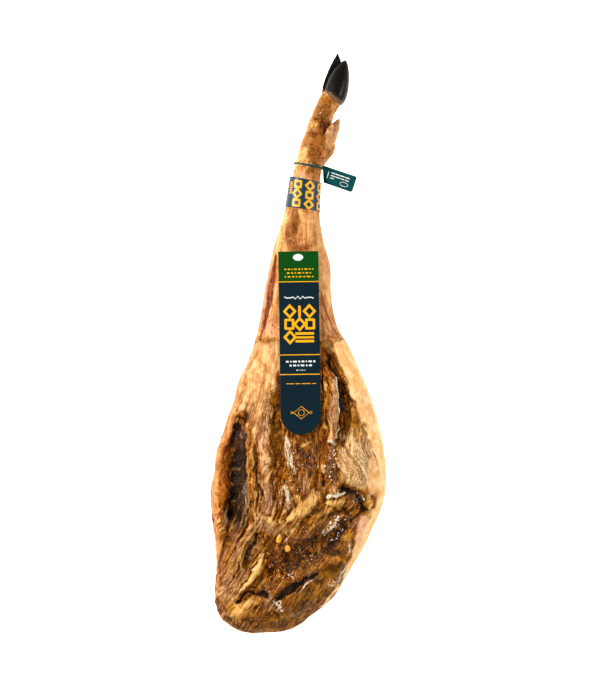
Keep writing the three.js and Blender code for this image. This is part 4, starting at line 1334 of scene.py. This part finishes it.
cardPlan = {
    "top": (-1.0, 132.3),
    "width": 57.6,
    "length": 262.0,
    "lean": 0.85,
    "thickness": 0.8,
    "across": 72,
    "rowStep": 0.8,
    "stations": 34,  # places along it at which the height of the solid card is read
    "stationReach": 7.0,
    "smoothedRows": 41,
    "ground": ("#021722", "#041E29"),
    "inks": {"green": "#003F07", "gold": "#E2A00A", "white": "#D2D8D6"},
    # Shapes of each ink in millimetres, right of the card's middle and down from its top
    "green": [("box", (0, 21.0), (28.9, 22.2), 0)],
    "gold": [
        *dashes(0.5, 25.6, 42, 1.9, (1.5, 2, 1, 2, 1.5, 1, 2.5, 1.5, 1)),
        *dashes(0.5, 31.0, 35, 1.9, (2, 1.5, 1, 2.5, 1, 2, 1)),
        *dashes(0.5, 36.4, 41, 1.9, (1, 2, 1.5, 1, 2, 1.5, 2.5, 1)),
        ("box", (0, 43.6), (29, 0.6), 0),
        ("diamond", (-13.6, 86), (7.6, 8.2), 3.4), ("box", (0.5, 86), (1.8, 8), 0),
        ("diamond", (14.6, 86), (7.6, 8.2), 3.4),
        ("box", (-14.4, 104.5), (5.4, 6.2), 3.4), ("diamond", (0.5, 104.5), (7.4, 8.2), 3.4),
        ("box", (15.4, 104.5), (5.4, 6.2), 3.4),
        ("diamond", (-13.6, 123), (7.6, 8.2), 3.4),
        ("box", (7.5, 118), (13.4, 1.8), 0), ("box", (7.5, 123.6), (13.4, 1.4), 0),
        ("box", (7.5, 129), (13.4, 1.8), 0),
        ("box", (0, 148.4), (29, 0.6), 0),
        ("box", (0, 176.4), (29, 0.6), 0),
        *dashes(1.2, 189.6, 43, 1.0, (6, 4, 7, 3)),
        ("diamond", (1.0, 231), (11, 9), 0.8), ("oval", (1.0, 231), (4.2, 4.2), 0.8),
        ("oval", (-12.6, 231), (1.5, 1.5), 0.8), ("oval", (14.6, 231), (1.5, 1.5), 0.8),
    ],
    "white": [
        ("oval", (-0.5, 8.6), (7.4, 4.8), 0),
        ("wave", (0, 66.5), (21, 1.7), 0.9),
        *dashes(1.0, 158, 42, 2.5, (2, 1, 3, 1.5, 2, 1, 2.5, 1.5)),
        *dashes(1.0, 163.6, 32, 2.5, (1.5, 2, 1, 2.5, 1, 2)),
        *dashes(1.0, 170.4, 13, 1.3, (2, 1, 2, 1)),
    ],
}


def shapeCard(plan):
    source = pointsOf(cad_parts["long_label"].data)
    lean = math.radians(plan["lean"])
    across = np.array([math.cos(lean), math.sin(lean)])
    down = np.array([math.sin(lean), -math.cos(lean)])
    sourceDown = (source[:, :2] - plan["top"]) @ down
    stations = np.linspace(0, plan["length"], plan["stations"])
    reach = plan["stationReach"]
    heights = np.array([source[np.abs(sourceDown - at) < reach, 2].max() for at in stations])
    radius = plan["width"] / 2
    straight = plan["length"] - radius
    endRows = straight + radius * np.sin(np.linspace(0, 1.545, 60))
    rows = np.append(np.arange(0, straight, plan["rowStep"]), endRows)
    half = np.sqrt(np.maximum(radius ** 2 - np.maximum(rows - straight, 0) ** 2, 0.01))
    top = np.interp(rows, stations, heights)
    window = np.hanning(plan["smoothedRows"])
    padded = np.pad(top, plan["smoothedRows"] // 2, mode="edge")
    top = np.maximum(np.convolve(padded, window / window.sum(), "valid"), top - 0.2)
    spread = np.linspace(-1, 1, plan["across"] + 1)
    u = (half[:, None] * spread[None, :]).ravel()
    v = np.repeat(rows, len(spread))
    flat = np.array(plan["top"]) + u[:, None] * across + v[:, None] * down
    upper = np.column_stack((flat, np.repeat(top, len(spread))))
    lower = upper - np.array([0, 0, plan["thickness"]])
    columns = len(spread)
    total = len(u)
    faces = []
    for i in range(len(rows) - 1):
        for j in range(columns - 1):
            a = i * columns + j
            faces.append((a, a + columns, a + columns + 1, a + 1))
            faces.append((total + a, total + a + 1, total + a + columns + 1, total + a + columns))
    flatCount = len(faces)
    rim = [*range(columns), *(i * columns + columns - 1 for i in range(1, len(rows)))]
    rim += [*range(total - 2, total - columns - 1, -1), *(i * columns for i in range(len(rows) - 2, 0, -1))]
    for a, b in zip(rim, rim[1:] + rim[:1]):
        faces.append((a, b, total + b, total + a))
    mesh = bpy.data.meshes.new("card")
    mesh.from_pydata((np.vstack((upper, lower)) * millimetre).tolist(), [], faces)
    for number, polygon in enumerate(mesh.polygons):
        polygon.use_smooth = number < flatCount
        polygon.material_index = 0 if number < flatCount else 1
    for name in plan["inks"]:
        storeField(mesh, name, np.tile(printField(u, v, plan[name]), 2))
    return mesh


# Coated card with a dull print lacquer, its gold a flat ink.
cardStock = printedMaterial("coatedCard", cardPlan, {"Roughness": 0.5, "Specular IOR Level": 0.12})
card = newPiece("longCard", shapeCard(cardPlan), cardStock, paperCore)
finishPiece(card, "long_label")
print("card shaped:", len(card.data.polygons), "faces")


# Sleeve

sleevePlan = {
    "levels": 3,
    "cutsAlong": 2,
    "creaseAngle": 0.9,
    "lowerEdge": (194.0, -0.155),  # Y of the lower edge at the leg's middle, and its fall across
    "ends": (205.0, 228.0),  # below the one Y and above the other lie its two edges
    "radius": 26.0,  # of the leg inside, which turns an angle into a length
    "glyph": (6.2, 6.2),
    "glyphStart": (9.0, 7.2),  # round the leg and along it, as the pitch is
    "pitch": (19.6, 13.4),
    "line": 3.2,
    "barColumn": -2,  # thin bars take the place of this column of glyphs
    "bars": [(-22.0, 20 + 2.6 * number) for number in range(7)],
    "barSize": (3.0, 0.7),
    "ground": ("#0A2A3A", "#123A4A"),
    "inks": {"gold": "#E8A204"},
}


def shapeSleeve(plan):
    mesh = refinedMesh("shank_band", plan["levels"], plan["creaseAngle"], plan["cutsAlong"])
    points = pointsOf(mesh)
    y = points[:, 1]
    low, high = points[y < plan["ends"][0]], points[y > plan["ends"][1]]
    lowMiddle = (low.min(axis=0) + low.max(axis=0)) / 2
    highMiddle = (high.min(axis=0) + high.max(axis=0)) / 2
    share = (y - lowMiddle[1]) / (highMiddle[1] - lowMiddle[1])
    offset = points - lowMiddle - share[:, None] * (highMiddle - lowMiddle)
    around = np.arctan2(offset[:, 0], offset[:, 2]) * plan["radius"]
    along = y - plan["lowerEdge"][0] - plan["lowerEdge"][1] * offset[:, 0]
    shapes = [("box", place, plan["barSize"], 0) for place in plan["bars"]]
    for column, row in itertools.product(range(-4, 5), range(3)):
        if column == plan["barColumn"]:
            continue
        centre = (plan["glyphStart"][0] + column * plan["pitch"][0],
                  plan["glyphStart"][1] + row * plan["pitch"][1])
        wide, high = plan["glyph"]
        if (column + row) % 2 == 0:
            shapes.append(("diamond", centre, (wide, high), plan["line"]))
        else:
            shapes.append(("box", centre, (wide - 1.4, high - 2.0), plan["line"]))
    storeField(mesh, "gold", printField(around, along, shapes))
    leg = (highMiddle - lowMiddle) / np.linalg.norm(highMiddle - lowMiddle)
    for polygon in mesh.polygons:
        polygon.material_index = 1 if abs(polygon.normal @ Vector(leg)) > 0.75 else 0
    return mesh


# Gloss-coated paper, which turns grey-blue where it mirrors the soft box.
sleeveStock = printedMaterial("glossPaper", sleevePlan, {
    "Roughness": 0.42, "Specular IOR Level": 0.3, "Coat Weight": 0.06, "Coat Roughness": 0.3})
sleeve = newPiece("paperSleeve", shapeSleeve(sleevePlan), sleeveStock, paperCore)
finishPiece(sleeve, "shank_band")
print("sleeve shaped:", len(sleeve.data.polygons), "faces")


# Seal

sealPlan = {
    "levels": 2,
    "creaseAngle": 0.6,
    "corner": (34.3, 257.6, 79.0),
    "turn": -18.2,
    "droop": 12.0,
    "markHeight": 0.25,
    # centre along and across the plate, half size and, for a ring, its line width
    "bars": [((18.5, -6.2), (2.5, 0.7)), ((25, -6.2), (3.2, 0.7)), ((32.6, -6.2), (3.6, 0.7)),
             ((40.5, -6.2), (3.4, 0.7)), ((19.5, -10.2), (3.4, 0.6)), ((27, -10.2), (3.2, 0.6)),
             ((34, -10.2), (2.8, 0.6)), ((41, -10.2), (3, 0.6)), ((19, -13.8), (3.0, 0.5)),
             ((11.6, -11), (0.5, 5.0))],
    "ring": ((38.5, -16.6), (6.4, 3.2), 0.6),
    "plastic": "#034546",
    "stamping": "#E4ECEA",
}


def sealFrame(plan):
    droop, turn = math.radians(plan["droop"]), math.radians(plan["turn"])
    along = Vector((math.cos(droop) * math.cos(turn), math.cos(droop) * math.sin(turn), -math.sin(droop)))
    across = Vector((-math.sin(turn), math.cos(turn), 0))
    return along, across, along.cross(across)


def raisedMarks(plan):
    # Printed marks on the plate, a hair proud of it.
    along, across, out = sealFrame(plan)
    corner = Vector(plan["corner"])
    shape = bmesh.new()

    def place(p, q, height):
        return shape.verts.new((corner + along * p + across * q + out * height) * millimetre)

    def prism(loopOut, loopIn=None):
        heights = (-0.1, plan["markHeight"])
        outer = [[place(p, q, h) for p, q in loopOut] for h in heights]
        inner = [[place(p, q, h) for p, q in loopIn] for h in heights] if loopIn else None
        count = len(loopOut)
        for i in range(count):
            j = (i + 1) % count
            shape.faces.new((outer[0][i], outer[0][j], outer[1][j], outer[1][i]))
            if inner:
                shape.faces.new((inner[0][j], inner[0][i], inner[1][i], inner[1][j]))
                shape.faces.new((outer[1][i], outer[1][j], inner[1][j], inner[1][i]))
                shape.faces.new((inner[0][i], inner[0][j], outer[0][j], outer[0][i]))
        if not inner:
            shape.faces.new(outer[1])
            shape.faces.new(outer[0][::-1])

    for (p, q), (dp, dq) in plan["bars"]:
        prism([(p - dp, q - dq), (p + dp, q - dq), (p + dp, q + dq), (p - dp, q + dq)])
    (p, q), (dp, dq), line = plan["ring"]
    angles = [2 * math.pi * i / 40 for i in range(40)]
    prism([(p + dp * math.cos(a), q + dq * math.sin(a)) for a in angles],
          [(p + (dp - line) * math.cos(a), q + (dq - line) * math.sin(a)) for a in angles])
    mesh = bpy.data.meshes.new("sealMarks")
    shape.to_mesh(mesh)
    shape.free()
    return mesh


def mouldedPlastic(shade):
    # Moulded polypropylene, dull, with the fine grain of its mould 0.8 mm apart.
    material, tree, shader = newMaterial("mouldedPlastic", {
        "Base Color": linearFromHex(shade), "Roughness": 0.45, "Specular IOR Level": 0.07})
    place = addNode(tree, "ShaderNodeTexCoord").outputs["Object"]
    grain = addNode(
        tree, "ShaderNodeTexNoise", None, {"Scale": 1 / (0.8 * millimetre), "Detail": 2.0}, {"Vector": place})
    bump = addNode(
        tree, "ShaderNodeBump", None, {"Strength": 0.15, "Distance": 0.0002},
        {"Height": grain.outputs["Fac"]})
    tree.links.new(bump.outputs[0], shader.inputs["Normal"])
    return material


# White foil stamping, flat and a little dull.
markInk, _, _ = newMaterial("whiteStamping", {
    "Base Color": linearFromHex(sealPlan["stamping"]), "Roughness": 0.5})

sealMesh = refinedMesh("seal_tag", sealPlan["levels"], sealPlan["creaseAngle"])
seal = newPiece("sealTag", sealMesh, mouldedPlastic(sealPlan["plastic"]))
finishPiece(seal, "seal_tag")
marks = newPiece("sealMarks", raisedMarks(sealPlan), markInk)
finishPiece(marks)
print("seal shaped")
